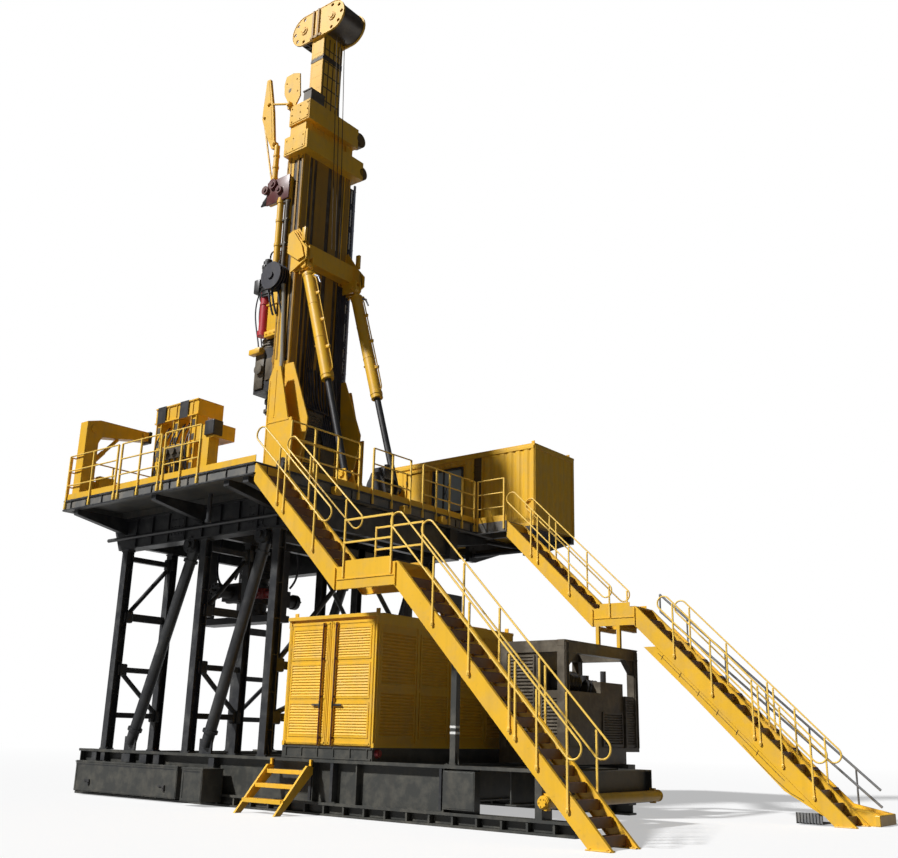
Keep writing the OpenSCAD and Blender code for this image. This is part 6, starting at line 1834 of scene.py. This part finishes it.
class RIG_OT_ropes(bpy.types.Operator):
    """Hoist ropes from the crown down to the cross beam at the mast's rear"""
    bl_idname = "rig.ropes"
    bl_label = "Hoist ropes"

    def execute(self, context):
        down = []
        foot = (CROSS_HI[0] - 0.008, CROSS_HI[2])
        top = (-2.37, CROWN_LO[2] - 0.02)
        for y in (-0.2, -0.06, 0.1):
            pts = [(top[0] + (foot[0] - top[0]) * t, y, top[1] + (foot[1] - top[1]) * t)
                   for t in grid(0, 1, 40)]
            down.append(hose(pts, context.scene.rig_sizes.rope_radius, 8, smooth=False))
        fall = done(down, "hoist_ropes", "rope", None, slot="rod_chrome", soft=True)
        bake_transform(fall)
        return {"FINISHED"}


class RIG_OT_ramp(bpy.types.Operator):
    """Seams, mesh step, rollers, toe plate and far handrail of the pipe slide"""
    bl_idname = "rig.ramp"
    bl_label = "Pipe slide"

    def execute(self, context):
        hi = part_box("pipe_ramp")[1]
        y0 = STAIR_LO[2][1]
        y1 = STAIR_HI[2][1] + 0.045
        y2 = hi[1] - 0.04
        x2 = STAIR_LO[2][0] + UPPER_RUN + LANDING_RUN[2]
        foot = 4.41 - 0.4 / (LANDING_Z / 4.41)

        def under(x):
            return 3.9 * (foot - (x - x2)) / (foot + 0.06)
        # seams on the beam under the near side, and its belly line, painted in shadow brown as
        # painted shade
        seams = []
        line = [(x2 + 0.5, under(x2 + 0.5) - 0.08), (x2 + 3.1, under(x2 + 3.1) - 0.08)]
        seams.append(outline(line + [(a, b - 0.014) for a, b in line[::-1]],
                             (y0 - 0.004, y0 + 0.01), in_xz))
        for x in grid(x2 + 0.62, x2 + 2.6, 6):
            z = under(x) - 0.02
            seams.append(outline([(x, z), (x + 0.016, z), (x - 0.034, z - 0.09),
                                  (x - 0.05, z - 0.09)], (y0 - 0.004, y0 + 0.01), in_xz))
        belly = [(x2 + 2.3, 0.2), (x2 + 2.6, 0.24), (x2 + 2.9, 0.24),
                 (x2 + 3.2, 0.2), (x2 + 3.45, 0.09)]
        pts = [(x, under(x) - d) for x, d in belly]
        seams.append(outline(pts + [(a, b - 0.014) for a, b in pts[::-1]],
                             (y0 - 0.004, y0 + 0.01), in_xz))
        done(seams, "slide_seams", "shadow_brown", slot="brown_machine")
        # dark mesh step under the beam's end
        mesh = [cube((x2 + 3.25, y0 + 0.08, 0.02), (x2 + 3.75, y0 + 0.1, 0.22)),
                cube((x2 + 3.25, y0 + 0.08, 0.02), (x2 + 3.75, y0 + 0.7, 0.04))]
        bar = cube((x2 + 3.25, y0 + 0.06, 0.02), (x2 + 3.262, y0 + 0.08, 0.22))
        mesh.append(row(bar, 9, (0.061, 0, 0)))
        done(mesh, "slide_mesh_step", "grey", slot="frame_paint")
        # rollers in the slide
        rolls = []
        for x in grid(x2 + 0.4, x2 + 3.5, 9):
            z = under(x) + 0.13
            rolls.append(axle(x, z, y1 + 0.04, y2, 0.04, 18))
        done(rolls, "slide_rollers", "tread", slot="brown_machine", soft=True)
        # toe plate with its lip and ribs
        toe = [block((hi[0] - 0.08, y1 - 0.02, 0.0), (hi[0] + 0.02, y2 + 0.06, 0.2), 0.012)]
        for y in grid(y1 + 0.1, y2 - 0.1, 5):
            toe.append(cube((hi[0] - 0.5, y, 0.14), (hi[0] - 0.07, y + 0.012, 0.21)))
        done(toe, "slide_toe", "yellow")
        # grey handrail on the slide's far side
        rail = []
        yy = y2 + 0.02
        ends = ((x2 - 0.32, 4.79), (x2 + 4.35, 0.62))

        def top(x):
            return ends[0][1] + (ends[1][1] -
                                 ends[0][1]) * (x - ends[0][0]) / (ends[1][0] - ends[0][0])
        for x in grid(x2 + 0.35, x2 + 3.9, 5):
            rail.append(post(x, yy, under(x) + 0.1, top(x), 0.02, 12))
        for drop in (0, 0.4):
            rail.append(tube((ends[0][0], yy, ends[0][1] - drop),
                             (ends[1][0], yy, max(0.3, ends[1][1] - drop)), 0.026, 12))
        rail.append(post(ends[0][0], yy, ends[0][1], ends[0][1] - 0.4, 0.022, 12))
        done(rail, "slide_handrail", "grey", slot="skid_paint", soft=True)
        return {"FINISHED"}


class RigCamera(bpy.types.PropertyGroup):
    """Where the camera stands"""
    place: bpy.props.FloatVectorProperty(name="Place", description="Position of the camera",
                                         default=(15.48, -17.16, 1.47),
                                         subtype="TRANSLATION", unit="LENGTH")
    azimuth: bpy.props.FloatProperty(name="Azimuth",
                                     description="Turn of the view to the left of +Y",
                                     default=radians(38.5), subtype="ANGLE")
    tilt: bpy.props.FloatProperty(name="Tilt", description="Upward tilt of the view",
                                  default=radians(16.65), subtype="ANGLE")
    roll: bpy.props.FloatProperty(name="Roll", description="Roll of the camera",
                                  default=radians(1.4), subtype="ANGLE")
    lens: bpy.props.FloatProperty(name="Lens",
                                  description="Focal length in millimetres on a 36 mm sensor",
                                  default=41.05, min=10.0, max=200.0)


def colour(look, label, use):
    """A colour property that starts at the look's own colour."""
    return bpy.props.FloatVectorProperty(name=label, description=use, default=PAINTS[look][1],
                                         min=0.0, max=1.0, subtype="COLOR")


def length(label, use, value):
    """A length property in metres."""
    return bpy.props.FloatProperty(name=label, description=use, default=value, unit="LENGTH")


class RigPaint(bpy.types.PropertyGroup):
    """Colours of the paints"""
    yellow: colour("yellow", "Yellow", "Paint of the mast, the stairs, the cabin and the pack")
    rail: colour("rail", "Rails", "Paint of the rails")
    black: colour("black", "Structure", "Paint of the columns and girders")
    skid: colour("skid", "Skid", "Paint of the skid")
    deck: colour("deck", "Deck", "Paint of the drill floor")
    machine: colour("machine", "Machines", "Paint of the machines")


class RigSizes(bpy.types.PropertyGroup):
    """Sizes and places of small pieces"""
    bolt_radius: length("Bolt radius", "Radius of the usual hexagon head", 0.018)
    bolt_height: length("Bolt height", "Height of the usual hexagon head", 0.016)
    rope_radius: length("Rope radius", "Radius of the hoist ropes", 0.011)
    winch_x: length("Winch X", "Place of the deck winch along the skid", -0.1)
    winch_y: length("Winch Y", "Place of the deck winch across the skid", 0.36)


class RIG_PT_panel(bpy.types.Panel):
    """Lists the builder's steps"""
    bl_label = "Drilling rig"
    bl_idname = "RIG_PT_panel"
    bl_space_type = "VIEW_3D"
    bl_region_type = "UI"
    bl_category = "Rig"

    def draw(self, context):
        for step in STEPS:
            self.layout.operator(step.bl_idname)
        for key, group in GROUPS.items():
            for name in group.__annotations__:
                self.layout.prop(getattr(context.scene, key), name)


STEPS = (
    RIG_OT_stage, RIG_OT_paint_frame, RIG_OT_skid, RIG_OT_ladder, RIG_OT_substructure,
    RIG_OT_floor, RIG_OT_stairs, RIG_OT_rails, RIG_OT_cabin, RIG_OT_power_pack,
    RIG_OT_pump_unit, RIG_OT_preventer, RIG_OT_roughneck, RIG_OT_mast, RIG_OT_collars,
    RIG_OT_chains, RIG_OT_cylinders, RIG_OT_head, RIG_OT_pipe_arm, RIG_OT_inner_mast,
    RIG_OT_crown, RIG_OT_ropes, RIG_OT_ramp,
)
GROUPS = {"rig_camera": RigCamera, "rig_paint": RigPaint, "rig_sizes": RigSizes}
CLASSES = (*GROUPS.values(), *STEPS, RIG_PT_panel)


def register():
    """Register the classes and hang the groups on the scene."""
    for cls in CLASSES:
        bpy.utils.register_class(cls)
    for key, group in GROUPS.items():
        setattr(bpy.types.Scene, key, bpy.props.PointerProperty(type=group))


def unregister():
    """Undo register."""
    for key in GROUPS:
        delattr(bpy.types.Scene, key)
    for cls in reversed(CLASSES):
        bpy.utils.unregister_class(cls)


def run(step):
    """Call a step's operator."""
    group, name = step.bl_idname.split(".")
    getattr(getattr(bpy.ops, group), name)()


def main():
    """Build everything in order."""
    register()
    for step in STEPS:
        run(step)


if __name__ == "__main__":
    main()
